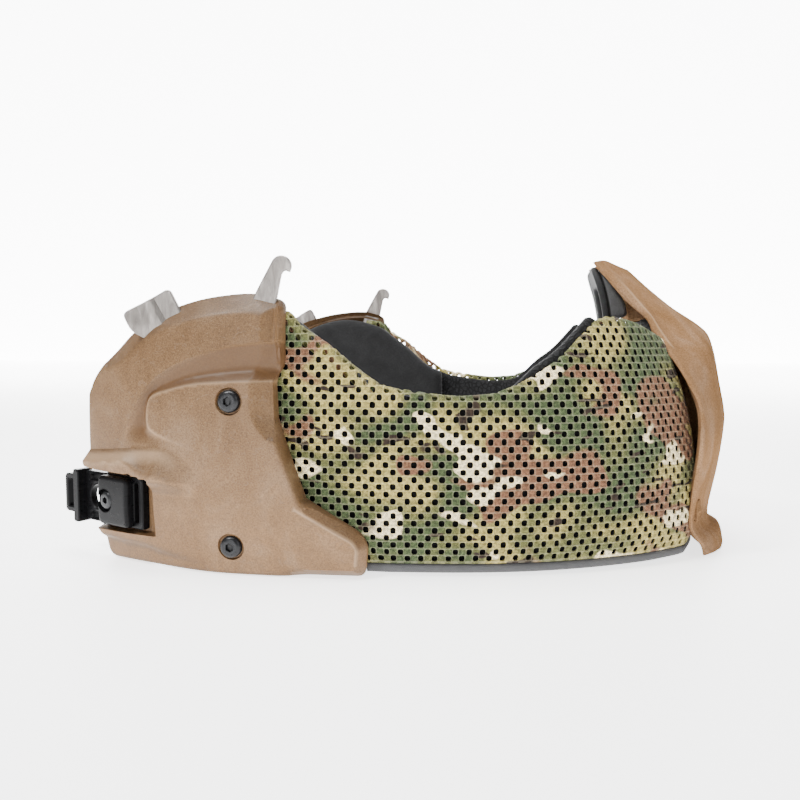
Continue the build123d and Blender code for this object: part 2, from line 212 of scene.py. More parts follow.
# ---- Materials ------------------------------------------------------------------------------
def tan_polymer(name, gloss, shade, painted_top_light):
    """Coyote tan moulded nylon: cloudy flow marks, fine speckle, satin gloss, and painted light and shade.

    shade scales the whole colour. The colour is also scaled by which way the surface faces, as painted light
    and shade, and the last argument scales it again where the surface faces up: below 1 it is painted shade,
    above 1 painted light."""
    s = Shader(name, roughness=0.45, specular=gloss)
    at = s.place()
    clouds = s.noise(s.stretch(at, (1.0, 1.0, 0.6)), 15.0, 3.0, 1.2)
    speckle = s.noise(at, 0.55, 2.0, 0.0, 0.7)
    fleck = s.noise(at, 0.28, 1.0)
    scuffs = s.noise(s.stretch(at, (1.0, 1.0, 1.6)), 5.0, 4.0, 1.6, 0.65)
    browns = ((0.3, (0.116, 0.059, 0.022)), (0.52, (0.139, 0.074, 0.030)), (0.72, (0.165, 0.096, 0.046)))
    specks = ((0.35, 0.72), (0.5, 0.98), (0.68, 1.26))
    light = s.ramp(speckle, [(mark, tuple(share * c for c in shade)) for mark, share in specks])
    tint = s.times(s.ramp(clouds, browns), light)
    # Painted light and shade by which way the surface faces: darker facing down, lightest just below
    # upright, and scaled by the last argument facing up.
    tilt = s.math("MULTIPLY_ADD", s.facing_up(), 0.5, 0.5)
    painted_light = s.ramp(tilt, [(0.30, 0.9), (0.43, 1.34), (0.5, 1.0), (0.6, 0.5 + 0.5 * painted_top_light), (0.85, painted_top_light)])
    colour = s.mix(s.ramp(fleck, [(0.60, 0.0), (0.72, 0.30)]), s.times(tint, painted_light), (0.30, 0.19, 0.11))
    colour = s.mix(s.ramp(scuffs, [(0.58, 0.0), (0.70, 0.22)]), colour, (0.21, 0.148, 0.103))
    # Painted shade: darker brown in the groove, where the points' hollow value is high.
    colour = s.mix(s.math("MULTIPLY", s.painted("hollow"), 0.82), colour, (0.078, 0.037, 0.013))
    # Painted highlight: paler along the panel's upper edge, the toe's bevel ridge, the roof and the guard's
    # crease.
    colour = s.mix(s.math("MULTIPLY", s.painted("painted_highlight"), 0.6), colour, (0.36, 0.245, 0.15))
    rough = s.ramp(speckle, [(0.3, 0.38), (0.7, 0.55)])
    return s.finish(colour, rough, s.bump(clouds, 0.35, 0.25, s.bump(speckle, 0.05, 0.6)))


def black_polymer():
    """Black glass-filled nylon: semi-gloss, lightly scuffed."""
    s = Shader("black_polymer", roughness=0.3, specular=0.08)
    at = s.place()
    grain = s.noise(at, 0.4, 3.0, 0.0, 0.6)
    scuffs = s.noise(s.stretch(at, (0.4, 1.0, 2.5)), 2.2, 4.0, 0.5, 0.7)
    blacks = ((0.3, (0.003, 0.003, 0.0034)), (0.6, (0.005, 0.005, 0.0055)), (0.78, (0.013, 0.013, 0.014)))
    colour = s.ramp(scuffs, blacks)
    rough = s.ramp(scuffs, [(0.3, 0.24), (0.7, 0.42)])
    return s.finish(colour, rough, s.bump(grain, 0.03, 0.5))


def black_steel():
    """Blackened screw steel with a thin oily gloss."""
    s = Shader("black_steel", roughness=0.32, metallic=0.55)
    at = s.place()
    grain = s.noise(at, 0.6, 3.0, 0.0, 0.6)
    colour = s.ramp(grain, [(0.3, (0.006, 0.0063, 0.0072)), (0.7, (0.017, 0.0177, 0.0196))])
    rough = s.ramp(grain, [(0.3, 0.26), (0.7, 0.42)])
    return s.finish(colour, rough, s.bump(grain, 0.02, 0.5))


def hook_steel():
    """Bead-blasted stainless plate with faint rub marks."""
    s = Shader("hook_steel", roughness=0.42, metallic=0.85)
    at = s.place()
    blast = s.noise(at, 0.35, 2.0, 0.0, 0.7)
    rubs = s.noise(s.stretch(at, (1.0, 1.0, 0.25)), 2.5, 4.0, 0.8, 0.65)
    greys = ((0.3, (0.135, 0.122, 0.111)), (0.55, (0.225, 0.206, 0.190)), (0.75, (0.35, 0.324, 0.30)))
    colour = s.ramp(rubs, greys)
    rough = s.ramp(rubs, [(0.3, 0.50), (0.7, 0.34)])
    return s.finish(colour, rough, s.bump(blast, 0.03, 0.6))


GREEN, OLIVE, STRAW = (0.041, 0.057, 0.022), (0.084, 0.086, 0.028), (0.250, 0.205, 0.062)
BROWN, DARK, CREAM = (0.125, 0.060, 0.031), (0.020, 0.012, 0.007), (0.620, 0.520, 0.300)


def camouflage(name, seed):
    """Knitted mesh printed with soft generic blotches, and the yarns of the knit over the print."""
    s = Shader(name, roughness=0.85, sheen=0.05, specular=0.2)
    flat = s.cloth_place()
    at = s.stretch(flat, (0.70, 1.0, 1.0), (seed, 0.0, 0.0))
    ground = s.noise(at, 21.0, 1.0, 0.5)
    colour = s.ramp(ground, [(0.40, GREEN), (0.50, OLIVE), (0.60, STRAW)], smooth=True)
    for stretch, shift, size, distortion, low, high, dye in (
        ((1.0, 1.0, 1.0), (37.0, 11.0, 5.0), 18.0, 0.35, 0.545, 0.575, BROWN),
        ((0.9, 1.5, 1.0), (71.0, 29.0, 3.0), 9.0, 0.8, 0.655, 0.675, DARK),
        ((1.0, 1.15, 1.0), (13.0, 53.0, 7.0), 14.0, 0.25, 0.63, 0.645, CREAM),
    ):
        blotches = s.noise(s.stretch(at, stretch, shift), size, 1.0, distortion)
        colour = s.mix(s.ramp(blotches, [(low, 0.0), (high, 1.0)]), colour, dye)
    # The knit: pale yarn round every hole and between rows, and fine stitches with dark pinholes.
    across, up, _ = s.split(s.stretch(flat, (1 / CELL_X, 1 / CELL_Z, 1.0)))
    parity = s.math("ADD", s.math("FLOOR", across), s.math("FLOOR", up))
    beside_hole = s.math("LESS_THAN", s.math("FRACT", s.math("MULTIPLY", parity, 0.5)), 0.25)
    off_row = s.math("ABSOLUTE", s.math("SUBTRACT", s.math("FRACT", up), 0.5))
    cord = s.ramp(off_row, [(0.40, 0.0), (0.47, 1.0)], smooth=True)
    stitch = s.weave(across, up, 1 / 4, 1 / 4)
    fuzz = s.noise(flat, 0.42, 2.0, 0.0, 0.75)
    thread = s.math("MULTIPLY_ADD", stitch, 0.55, s.math("MULTIPLY", fuzz, 0.9))
    colour = s.times(colour, s.ramp(thread, [(0.40, 0.34), (0.72, 0.98), (1.02, 1.75)]))
    mottle = s.noise(flat, 1.0, 2.0, 0.6, 0.65)
    colour = s.times(colour, s.ramp(mottle, [(0.33, 0.55), (0.5, 1.0), (0.67, 1.6)]))
    pale = s.mix(0.35, s.times(colour, (2.1, 2.1, 2.1)), (0.42, 0.385, 0.27))
    yarn = s.math("MAXIMUM", s.math("MULTIPLY", cord, 0.50), s.math("MULTIPLY", beside_hole, 0.42))
    colour = s.mix(yarn, colour, pale)
    height = s.math("ADD", s.math("MULTIPLY", cord, 0.5), s.math("MULTIPLY", thread, 0.8))
    return s.finish(colour, None, s.bump(height, 0.18, 0.8))


def spacer_mesh(name, pitch, shades):
    """Black spacer fabric: a net of small six-sided openings."""
    s = Shader(name, roughness=0.8, sheen=0.03, specular=0.2)
    at = s.place()
    net = s.cell_edges(at, pitch)
    fuzz = s.noise(at, 0.3, 2.0, 0.0, 0.7)
    colour = s.ramp(net, [(0.05, shades[1]), (0.22, shades[0])])
    colour = s.times(colour, s.ramp(fuzz, [(0.25, 0.6), (0.75, 1.4)]))
    hollow = s.ramp(net, [(0.05, 1.0), (0.3, 0.0)], smooth=True)
    return s.finish(colour, None, s.bump(hollow, 0.25, 0.9))


def napped_cloth():
    """Charcoal brushed lining with a short nap."""
    s = Shader("napped_cloth", roughness=0.92, sheen=0.06, specular=0.15)
    at = s.place()
    nap = s.noise(at, 0.5, 4.0, 0.4, 0.75)
    broad = s.noise(at, 9.0, 2.0, 0.6)
    colour = s.ramp(nap, [(0.3, (0.006, 0.006, 0.0062)), (0.7, (0.015, 0.015, 0.0155))])
    colour = s.times(colour, s.ramp(broad, [(0.3, 0.8), (0.7, 1.25)]))
    return s.finish(colour, None, s.bump(nap, 0.12, 0.7))


def woven_tape():
    """Grey woven edging: fine ribs across the tape."""
    s = Shader("woven_tape", roughness=0.8, sheen=0.03, specular=0.2)
    along, up, _ = s.split(s.cloth_place())
    weave = s.weave(along, up, 0.6, 0.5)
    colour = s.ramp(weave, [(0.1, (0.045, 0.045, 0.047)), (0.9, (0.120, 0.120, 0.123))])
    return s.finish(colour, None, s.bump(weave, 0.12, 0.8))


def nose_rubber(name, dark, pale, rough):
    """Moulded rubber with a dusty bloom in soft random patches."""
    s = Shader(name, roughness=rough, specular=0.35)
    at = s.place()
    grain = s.noise(at, 0.35, 3.0, 0.0, 0.7)
    bloom = s.noise(at, 5.0, 3.0, 0.5, 0.6)
    colour = s.ramp(grain, [(0.3, dark), (0.72, pale)])
    colour = s.times(colour, s.ramp(bloom, [(0.3, 0.75), (0.7, 1.3)]))
    return s.finish(colour, None, s.bump(grain, 0.05, 0.6))


# ---- Plane curves ---------------------------------------------------------------------------
def smooth_curve(points, step):
    """Points about every step along a smooth curve through the given points."""
    p = np.asarray(points, float)
    p = np.vstack([2 * p[0] - p[1], p, 2 * p[-1] - p[-2]])
    out = []
    for a, b, c, d in zip(p, p[1:], p[2:], p[3:]):
        count = max(2, round(float(np.linalg.norm(c - b)) / step))
        t = np.linspace(0, 1, count, endpoint=False)[:, None]
        bend, twist = 2 * a - 5 * b + 4 * c - d, 3 * b - 3 * c + d - a
        out.append(0.5 * (2 * b + (c - a) * t + bend * t**2 + twist * t**3))
    return np.vstack([*out, p[-2:-1]])


def rounded(points, radius, closed=False):
    """A chain of straight runs with each corner eased by a short curve."""
    p = [np.asarray(q, float) for q in points]
    radii = radius if hasattr(radius, "__len__") else [radius] * len(p)
    out = [] if closed else [p[0]]
    for i in range(len(p)) if closed else range(1, len(p) - 1):
        before, here, after = p[i - 1], p[i], p[(i + 1) % len(p)]
        reach_in = min(radii[i], 0.48 * np.linalg.norm(here - before))
        reach_out = min(radii[i], 0.48 * np.linalg.norm(after - here))
        start = here + (before - here) / np.linalg.norm(before - here) * reach_in
        end = here + (after - here) / np.linalg.norm(after - here) * reach_out
        for t in np.linspace(0, 1, 7):
            out.append((1 - t) ** 2 * start + 2 * t * (1 - t) * here + t * t * end)
    out.append(out[0] if closed else p[-1])
    return np.array(out)


def lengths_along(chain):
    """How far along the chain each of its points is."""
    return np.concatenate([[0], np.cumsum(np.hypot(*np.diff(chain, axis=0).T))])


def to_the_left(ahead):
    """Unit vectors square to the given ones, on their left."""
    return np.column_stack([-ahead[:, 1], ahead[:, 0]]) / np.hypot(*ahead.T)[:, None]


def even(chain, step):
    """The same chain with points an even distance apart."""
    length = lengths_along(chain)
    count = max(3, round(length[-1] / step))
    marks = np.linspace(0, length[-1], count + 1)
    return np.column_stack([np.interp(marks, length, chain[:, k]) for k in (0, 1)])


def arc(centre, radius, start, end, count):
    t = np.linspace(start, end, count)
    return np.column_stack([centre[0] + radius * np.cos(t), centre[1] + radius * np.sin(t)])


def circle(centre, radius):
    return arc(centre, radius, 0, 2 * math.pi, 41)


def box_outline(x0, z0, x1, z1, radius):
    return rounded([(x0, z0), (x1, z0), (x1, z1), (x0, z1)], radius, closed=True)


def nearest(points, chain):
    """For each point: its distance to the chain, how far along it is (0 to 1), and on which side."""
    a, run = chain[:-1], np.diff(chain, axis=0)
    length, start = np.hypot(*run.T), lengths_along(chain)
    gap, along, side = (np.zeros(len(points)) for _ in range(3))
    for i in range(0, len(points), 3000):
        q = points[i : i + 3000, None]
        t = np.clip(((q - a) * run).sum(-1) / np.maximum(length**2, 1e-12), 0, 1)
        away = np.linalg.norm(q - a - run * t[..., None], axis=-1)
        k = away.argmin(1)
        rows = np.arange(len(k))
        w = q[:, 0] - a[k]
        gap[i : i + 3000] = away[rows, k]
        along[i : i + 3000] = (start[k] + length[k] * t[rows, k]) / start[-1]
        side[i : i + 3000] = np.sign(run[k, 0] * w[:, 1] - run[k, 1] * w[:, 0])
    return gap, along, side


def inside(points, loop):
    """Whether each point is inside a closed chain."""
    x, y = points[:, :1], points[:, 1:]
    a, b = loop[:-1], loop[1:]
    spans = (a[:, 1] > y) != (b[:, 1] > y)
    rise = np.where(b[:, 1] == a[:, 1], 1e-12, b[:, 1] - a[:, 1])
    crossing = (b[:, 0] - a[:, 0]) * (y - a[:, 1]) / rise + a[:, 0]
    return (spans & (x < crossing)).sum(1) % 2 == 1


def ease(low, high, value):
    """0 below low, 1 above high, and smooth between."""
    t = np.clip((value - low) / (high - low), 0, 1)
    return t * t * (3 - 2 * t)


def rounding(reach, radius):
    """How far a face falls at a distance from its edge, where the edge is rounded over."""
    return radius * (1 - np.sqrt(1 - (1 - np.clip(reach / radius, 0, 1)) ** 2))


def chamfer(reach, width):
    """How far a face falls at a distance from its edge, where the edge is bevelled."""
    return width * np.clip(1 - reach / width, 0, 1)


# ---- Closed plates with shaped faces ----------------------------------------------------------
def triangulated(flat, edges, epsilon):
    """Points, triangles and each point's places in flat, for a plane mesh that keeps the given edges."""
    found = delaunay_2d_cdt([Vector(p) for p in flat.tolist()], edges, [], 0, epsilon)
    return np.array([v[:] for v in found[0]]), np.array(found[2]), found[3]


def two_sided(faces, count):
    """Polygons of a closed sheet from one face's triangles; the other face's points come count later."""
    pairs = np.vstack([faces[:, [0, 1]], faces[:, [1, 2]], faces[:, [2, 0]]])
    key = np.sort(pairs, axis=1)
    _, first, times = np.unique(key[:, 0] * count + key[:, 1], return_index=True, return_counts=True)
    a, b = pairs[first[times == 1]].T
    walls = np.column_stack([b, a, a + count, b + count])
    return faces.tolist() + (faces[:, ::-1] + count).tolist() + walls.tolist()


def used_only(at, faces):
    """Which points the triangles use, and the triangles counted over those."""
    used, inverse = np.unique(faces.ravel(), return_inverse=True)
    return used, at[used], inverse.reshape(-1, 3)


def slab(outline, top, bottom, place, step, rows=(), holes=(), lines=()):
    """A closed plate over a plane outline.

    top and bottom give the height of each face from the place and the distance to the edge. rows
    are distances from the edge that get their own points, and lines are chains that the mesh keeps
    as edges. place turns (across, up, height) into points of the model, in millimetres."""
    loops = [even(loop, step * 0.8) for loop in (outline, *holes)]

    def in_plate(points):
        keep = inside(points, loops[0])
        for hole in loops[1:]:
            keep &= ~inside(points, hole)
        return keep

    def edge_distance(points):
        return np.min([nearest(points, loop)[0] for loop in loops], axis=0)

    points = [loop[:-1] for loop in loops]
    edges = []
    count = 0
    for loop in points:
        edges += [(count + i, count + (i + 1) % len(loop)) for i in range(len(loop))]
        count += len(loop)
    for loop in loops:
        across = to_the_left(np.roll(loop[:-1], -1, axis=0) - np.roll(loop[:-1], 1, axis=0))
        for row in rows:
            for way in (1, -1):
                moved = loop[:-1] + across * row * way
                moved = moved[in_plate(moved)]
                if len(moved):
                    points.append(moved[edge_distance(moved) > 0.97 * row])
    count = sum(len(p) for p in points)
    kept_lines = []
    for line in lines:
        chain = even(line, step * 0.7)
        chain = chain[in_plate(chain) & (edge_distance(chain) > 0.3 * step)]
        if len(chain) > 1:
            edges += [(count + i, count + i + 1) for i in range(len(chain) - 1)
                      if np.hypot(*(chain[i + 1] - chain[i])) < step * 1.5]
            points.append(chain)
            kept_lines.append(chain)
            count += len(chain)
    low, high = loops[0].min(0), loops[0].max(0)
    xs = np.arange(low[0], high[0] + step, step)
    ys = np.arange(low[1], high[1] + step, step * 0.866)
    gx, gy = np.meshgrid(xs, ys)
    gx = gx + (np.arange(len(ys)) % 2)[:, None] * step / 2
    grid = np.column_stack([gx.ravel(), gy.ravel()])
    grid = grid[in_plate(grid)]
    grid = grid[edge_distance(grid) > (max(rows) if rows else 0) + 0.5 * step]
    for chain in kept_lines:
        grid = grid[nearest(grid, chain)[0] > 0.5 * step]
    points.append(grid)
    at, faces, _ = triangulated(np.vstack(points), edges, 0.02)
    _, at, faces = used_only(at, faces[in_plate(at[faces].mean(1))])
    x, y, distance = at[:, 0], at[:, 1], edge_distance(at)
    verts = np.vstack([place(x, y, face(x, y, distance)) for face in (top, bottom)])
    return verts, two_sided(faces, len(at)), np.vstack([at, at])


def edge_rows(radius):
    return [radius * r for r in (0.08, 0.3, 0.62, 1.0)]


def upright(x, z, height):
    """A plate seen from the wearer's right: height is measured out from the middle plane."""
    return np.column_stack([x, -height, z])


# ---- Pieces -----------------------------------------------------------------------------------
def make_piece(name, shape, material, body, nodes, sharp):
    """An object from points, polygons and, for cloth, each point's place on the flat sheet."""
    verts, polygons, flat = shape
    mesh = bpy.data.meshes.new(name)
    mesh.from_pydata((np.asarray(verts) * MM).tolist(), [], polygons)
    mesh.materials.append(material)
    mesh.shade_smooth()
    mesh.set_sharp_from_angle(angle=math.radians(sharp))
    if flat is not None:
        layer = mesh.uv_layers.new(name="cloth")
        corner = np.zeros(len(mesh.loops), dtype=np.int64)
        mesh.loops.foreach_get("vertex_index", corner)
        layer.data.foreach_set("uv", (np.asarray(flat)[corner] * MM).ravel())
    piece = bpy.data.objects.new(name, mesh)
    bpy.context.scene.collection.objects.link(piece)
    if body is not None:
        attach(piece, body)
    if nodes:
        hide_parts(*nodes)
    return piece


def paint(pieces, name, values):
    """Stores a value on every point for the materials to read."""
    for piece in pieces:
        piece.data.attributes.new(name, "FLOAT", "POINT").data.foreach_set("value", values)


def flipped(polygons):
    return [tuple(reversed(p)) for p in polygons]


def both_sides(name, shape, material, body, nodes, sharp):
    """The right-hand piece and its mirror image on the left."""
    verts, polygons, flat = shape
    made = {}
    for side, way in SIDES:
        turned = (verts * (1, way, 1), polygons if way > 0 else flipped(polygons), flat)
        finish = material[side] if isinstance(material, dict) else material
        side_body, side_nodes = body and f"{side}_{body}", [f"{side}_{node}" for node in nodes]
        made[side] = make_piece(f"{side}_{name}", turned, finish, side_body, side_nodes, sharp)
    return made


# ---- Cheek shells -------------------------------------------------------------------------------
HALF_WIDTH, MID_X, MID_Z = 92.0, -48.0, 47.0
SHELL_WALL, RIM_Y = 3.0, 81.8
SCREWS = ((-47.3, 59.0), (-48.3, 10.0))
ANCHOR_ANGLE = math.radians(24.0)
ANCHOR_AT = (-97.0, -74.5, 22.0)
CROWN = [(-105.5, 60), (-102, 66.6), (-94.5, 75.5), (-86, 83), (-76.5, 88), (-67.6, 91.2), (-58, 93.4),
         (-47.3, 94.6), (-40, 94.6)]


def shell_y(x, z):
    """How far out a shell's outer surface stands, before its mouldings."""
    along = np.where(x < MID_X, 0.0038, 0.0012)
    across = np.where(z < MID_Z, 0.0021, 0.0027)
    return HALF_WIDTH - along * (x - MID_X) ** 2 - across * (z - MID_Z) ** 2


def shell_outline():
    """Anticlockwise from the rear of the foot."""
    foot = rounded([(-103.5, 26), (-105, 11.3), (-102.9, 9.4), (-101.8, 0.3), (-78, 0.6), (-55, 0), (-4, 0),
                    (-2.6, 11), (-5, 15), (-24, 26)], [0, 1, 1.2, 4, 8, 10, 2.6, 2, 2, 0])
    jaw = smooth_curve([(-24, 26), (-27, 34), (-31.2, 46), (-33.4, 53)], 0.8)
    brow = rounded([(-33.4, 53), (-34, 66), (-31, 71), (-30.6, 92.0), (-40, 94.6)], [0, 2.5, 2.5, 3.0, 0])
    crown = smooth_curve(CROWN, 0.8)[::-1]
    rear = rounded([(-105.5, 60), (-105.5, 40), (-106.5, 35.5), (-104, 33), (-103.5, 26)], [0, 2, 1, 1, 0])
    return np.vstack([foot, jaw[1:], brow[1:], crown[1:], rear[1:]])


# Lines on the cheek shell, in (x, z), each from its rear end.
BAND_EDGE = [(-87.5, 45.5), (-86, 50.5), (-84, 54.7), (-80.2, 60.9), (-74, 67), (-64.3, 72.2), (-50.5, 76.5),
             (-41.8, 78), (-29, 78.8)]
PANEL_EDGE = [(-54, 40.2), (-64.1, 43.9), (-75.6, 48.0), (-77.9, 51.2), (-77.9, 56.8), (-76.0, 60.2),
              (-70, 62.2), (-60.2, 64.3), (-45.7, 65.3), (-29, 65.7)]
LIP = [(-107, 10.0), (-101.3, 9.8), (-92.3, 9.2), (-82, 8.7), (-75.6, 7.4), (-62, 5.2), (-48, 2.0)]
ROOF_TOP = [(-107, 40.2), (-95, 41.2), (-85, 42.2), (-74.1, 43), (-68.1, 41.5), (-62.4, 37.5), (-56.6, 31.7)]
ROOF_FOOT = [(-107, 35.0), (-100, 34.2), (-85.6, 33.6), (-79, 32.2)]
POCKET_FRONT, POCKET_RAMP, POCKET_FOOT, POCKET_EDGE = -76.8, 2.5, 11.3, 0.6
SCREW_SEAT = 4.4                           # radius of the recess round a shell screw


def pocket_floor(x):
    return -ANCHOR_AT[1] + (x - ANCHOR_AT[0]) * math.tan(ANCHOR_ANGLE)


def groove(x, z):
    """Depth of the groove between the crown band and the raised panel; it fades out at the panel's tip."""
    at = np.column_stack([x, z])
    below_band, _, side_band = nearest(at, smooth_curve(BAND_EDGE, 1.0))
    off_panel, along_panel, side_panel = nearest(at, smooth_curve(PANEL_EDGE, 1.0))
    share = off_panel / np.maximum(off_panel + below_band, 1e-6)
    depth = (1.8 + 1.9 * ease(-80, -36, x)) * ease(0.0, 0.24, along_panel) * ease(43, 50, z)
    profile = np.interp(share, [0, 0.26, 0.40, 0.92, 0.97, 1.0], [0, 0.90, 1.0, 0.38, 0.10, 0])
    return np.where((side_band < 0) & (side_panel > 0), depth * profile, 0.0)


def shell_face(x, z, edge):
    """Height of the outer face with its bevels, groove, raised panel, roof, pocket and undercut foot."""
    at = np.column_stack([x, z])
    base = shell_y(x, z)
    # The roof over the pocket: it rises below its top line, and broadens into a facet towards its tip.
    under_roof, _, side_roof = nearest(at, smooth_curve(ROOF_TOP, 1.0))
    below_foot, _, side_foot = nearest(at, np.array([*ROOF_FOOT, (-72, 31.8), (-56.6, 31.7)]))
    broad = 3.6 + 5.6 * ease(-88, -76, x)
    roof = 4.3 * np.clip(under_roof / broad, 0, 1) * (1 - ease(-80, -55, x)) * (side_roof < 0)
    roof = np.where(side_foot > 0, roof, roof * (1 - ease(0.0, 5.0, below_foot)))
    height = base - groove(x, z) * (1 - ease(0, 4, roof)) + roof
    # The foot is set back below its lip.
    below_lip, _, side_lip = nearest(at, smooth_curve(LIP, 1.0))
    setback = 2.7 * (1 - ease(-104, -52, x))
    height = height - np.where(side_lip < 0, setback * ease(0.0, 2.6, below_lip), 0.0)
    # The pocket that holds the strap anchor, with a sloping front wall.
    ceiling = np.interp(x, [p[0] for p in ROOF_FOOT], [p[1] for p in ROOF_FOOT])
    sunk = np.minimum((POCKET_FRONT - x) / POCKET_RAMP, (z - POCKET_FOOT) / POCKET_EDGE)
    sunk = np.clip(np.minimum(sunk, (ceiling - z) / POCKET_EDGE), 0, 1)
    floor = pocket_floor(x) - 0.05
    height = height + np.minimum(floor - height, 0) * sunk
    for screw in SCREWS:
        height = height - 0.95 * ease(-0.25, 0.25, SCREW_SEAT - np.hypot(x - screw[0], z - screw[1]))
    # Bevels: broad on the crown, sloped down the toe, small elsewhere.
    crown = ease(-106, -92, x) * ease(66, 80, z + (x + 106) * 0.35)
    toe = (1 - ease(16, 30, z)) * ease(-34, -22, x)
    width = 1.2 + 5.4 * crown * (1 - ease(-34, -31.5, x)) + 1.8 * toe
    drop = 1.2 + 3.6 * crown + 3.0 * toe
    t = np.clip(edge / width, 0, 1)
    bevel = np.where(np.maximum(crown, toe) > 0.4, (1 - t) ** 1.15, rounding(t, 1.0))
    return height - drop * bevel


def shell_back(x, z, edge):
    """The inner face: a rim that stands on the cloth's margin, or 9 mm deep at the rear, round a hollow."""
    face, rear_rim = shell_face(x, z, edge), shell_y(x, z) - 9.0
    rim = np.where(x > -84, RIM_Y, rear_rim)
    rim = np.minimum(rim + (rear_rim - rim) * (1 - ease(-92, -84, x)), face - 1.0)
    return rim + (face - SHELL_WALL - rim) * ease(2.4, 3.4, edge)


def make_shells(material):
    outline = shell_outline()
    step = 0.85
    band, panel, lip = (smooth_curve(chain, 1.0) for chain in (BAND_EDGE, PANEL_EDGE, LIP))
    lines = [band, panel, lip, smooth_curve(ROOF_TOP, 1.0)]
    for chain, gaps in ((band, (-0.9, -1.8)), (panel, (0.8, 1.6)), (lip, (-1.0, -2.2))):
        across = to_the_left(np.gradient(chain, axis=0))
        lines += [chain[3:-3] + across[3:-3] * gap for gap in gaps]
    for inset in (0.0, POCKET_RAMP):
        x = POCKET_FRONT - inset
        lines.append(np.array([(x, POCKET_FOOT + 0.3), (x, 31.0)]))
    for inset in (0.0, POCKET_EDGE):
        lines.append(np.array([(-108, POCKET_FOOT + inset), (POCKET_FRONT - 1, POCKET_FOOT + inset)]))
        lines.append(np.array([(x, z - inset) for x, z in ROOF_FOOT if x < -79]))
    lines += [circle(at, SCREW_SEAT + gap) for at in SCREWS for gap in (-0.25, 0.25)]
    rows = (0.25, 0.7, 1.3, 2.1, 3.0, 3.7)
    shape = slab(outline, shell_face, shell_back, upright, step, rows, lines=lines)
    made = both_sides("shell_visual", shape, material, "side", ["shell"], 40)
    # Painted shade darkens the groove, and painted highlights lighten the roof and the edges of the panel
    # and the toe.
    flat = shape[2]
    x, z = flat[:, 0], flat[:, 1]
    edge = nearest(flat, even(outline, 1.0))[0]
    off_panel, along, _ = nearest(flat, panel)
    painted_light = np.clip(1 - off_panel / 0.5, 0, 1) * ease(0.05, 0.3, along) * 0.6
    on_toe = (z > 4.2) & (z < 24)
    painted_light = np.maximum(painted_light, np.clip(1 - np.abs(edge - 3.0) / 0.4, 0, 1) * on_toe * ease(-34, -24, x))
    under_roof, _, side = nearest(flat, smooth_curve(ROOF_TOP, 1.0))
    on_roof = ease(0.3, 1.8, under_roof) * (1 - ease(2.5, 6.5, under_roof)) * (side < 0)
    painted_light = np.maximum(painted_light, 0.75 * on_roof * (1 - ease(-76, -64, x)))
    # Painted shade for the groove, from its depth.
    paint(made.values(), "hollow", np.clip(groove(x, z) / 1.4, 0, 1))
    paint(made.values(), "painted_highlight", painted_light)


# ---- Steel hooks ------------------------------------------------------------------------------
STEEL_Y, STEEL = 81.7, 1.5


def hook_outline():
    toe = [*arc(SCREWS[1], 6, math.pi, 2 * math.pi, 12)]
    right = [(-42.3, 14), (-41.6, 50), (-38.6, 57), (-39.5, 63), (-36, 80), (-33.6, 92), (-31.7, 101.0),
             (-30.9, 101.9), (-29.6, 101.9), (-29.0, 101.0), (-28.2, 103.2)]
    tip = [*arc((-31.8, 103.4), 3.6, 0.25, 2.5, 10)]
    left = [(-41, 94.5), (-44, 86), (-50.6, 70.0), (-53.0, 69.6), (-64, 80), (-68.2, 90), (-71.8, 96.8),
            (-87.2, 88.2), (-84.2, 81.8), (-58, 67.5), (-56.3, 59), (-54, 52), (-54.3, 14)]
    points = toe + right + tip + left
    return rounded(points, [0.4] * (len(toe) + len(right) + len(tip)) + [2.0] * len(left), closed=True)


def steel_face(x, z, edge):
    """Flat plate with a broken edge; the rear tab is bent outwards, with a step across it."""
    behind = -((x + 79.6) * 7.4 + (z - 92) * 2.4) / 7.8
    lift = 0.34 * np.clip(behind, 0, 9)
    past_step = -(0.875 * (x + 77.5) + 0.49 * (z - 92.5))
    lift = lift + 0.45 * (1 + np.tanh(past_step / 0.6)) * ease(80, 85, z) * (x < -60)
    return STEEL_Y + STEEL + lift - chamfer(edge, 0.35)


def steel_back(x, z, edge):
    return steel_face(x, z, 9.0) - STEEL + chamfer(edge, 0.3)


def make_hooks(material):
    holes = [circle(at, 2.2) for at in SCREWS]
    shape = slab(hook_outline(), steel_face, steel_back, upright, 1.0, rows=(0.2, 0.4), holes=holes)
    both_sides("hook_visual", shape, material, "side", ["hook_bracket"], 20)


# ---- Screws and strap anchor ------------------------------------------------------------------
TURN = np.linspace(0, 2 * math.pi, 48, endpoint=False)


def tube_polygons(rings, count):
    """Polygons of a closed tube from rings of count points each."""
    polygons = [tuple(reversed(range(count))), tuple(range((rings - 1) * count, rings * count))]
    for k in range(rings - 1):
        for i in range(count):
            j = (i + 1) % count
            polygons.append((k * count + i, k * count + j, (k + 1) * count + j, (k + 1) * count + i))
    return polygons


def lathe(rings, place):
    """A closed solid of revolution from (radius, height) rings; a radius may be a row of radii."""
    flat = np.vstack([
        np.column_stack([radius * np.cos(TURN), radius * np.sin(TURN), np.full(len(TURN), height)])
        for radius, height in rings
    ])
    return place(*flat.T), tube_polygons(len(rings), len(TURN)), flat[:, :2]


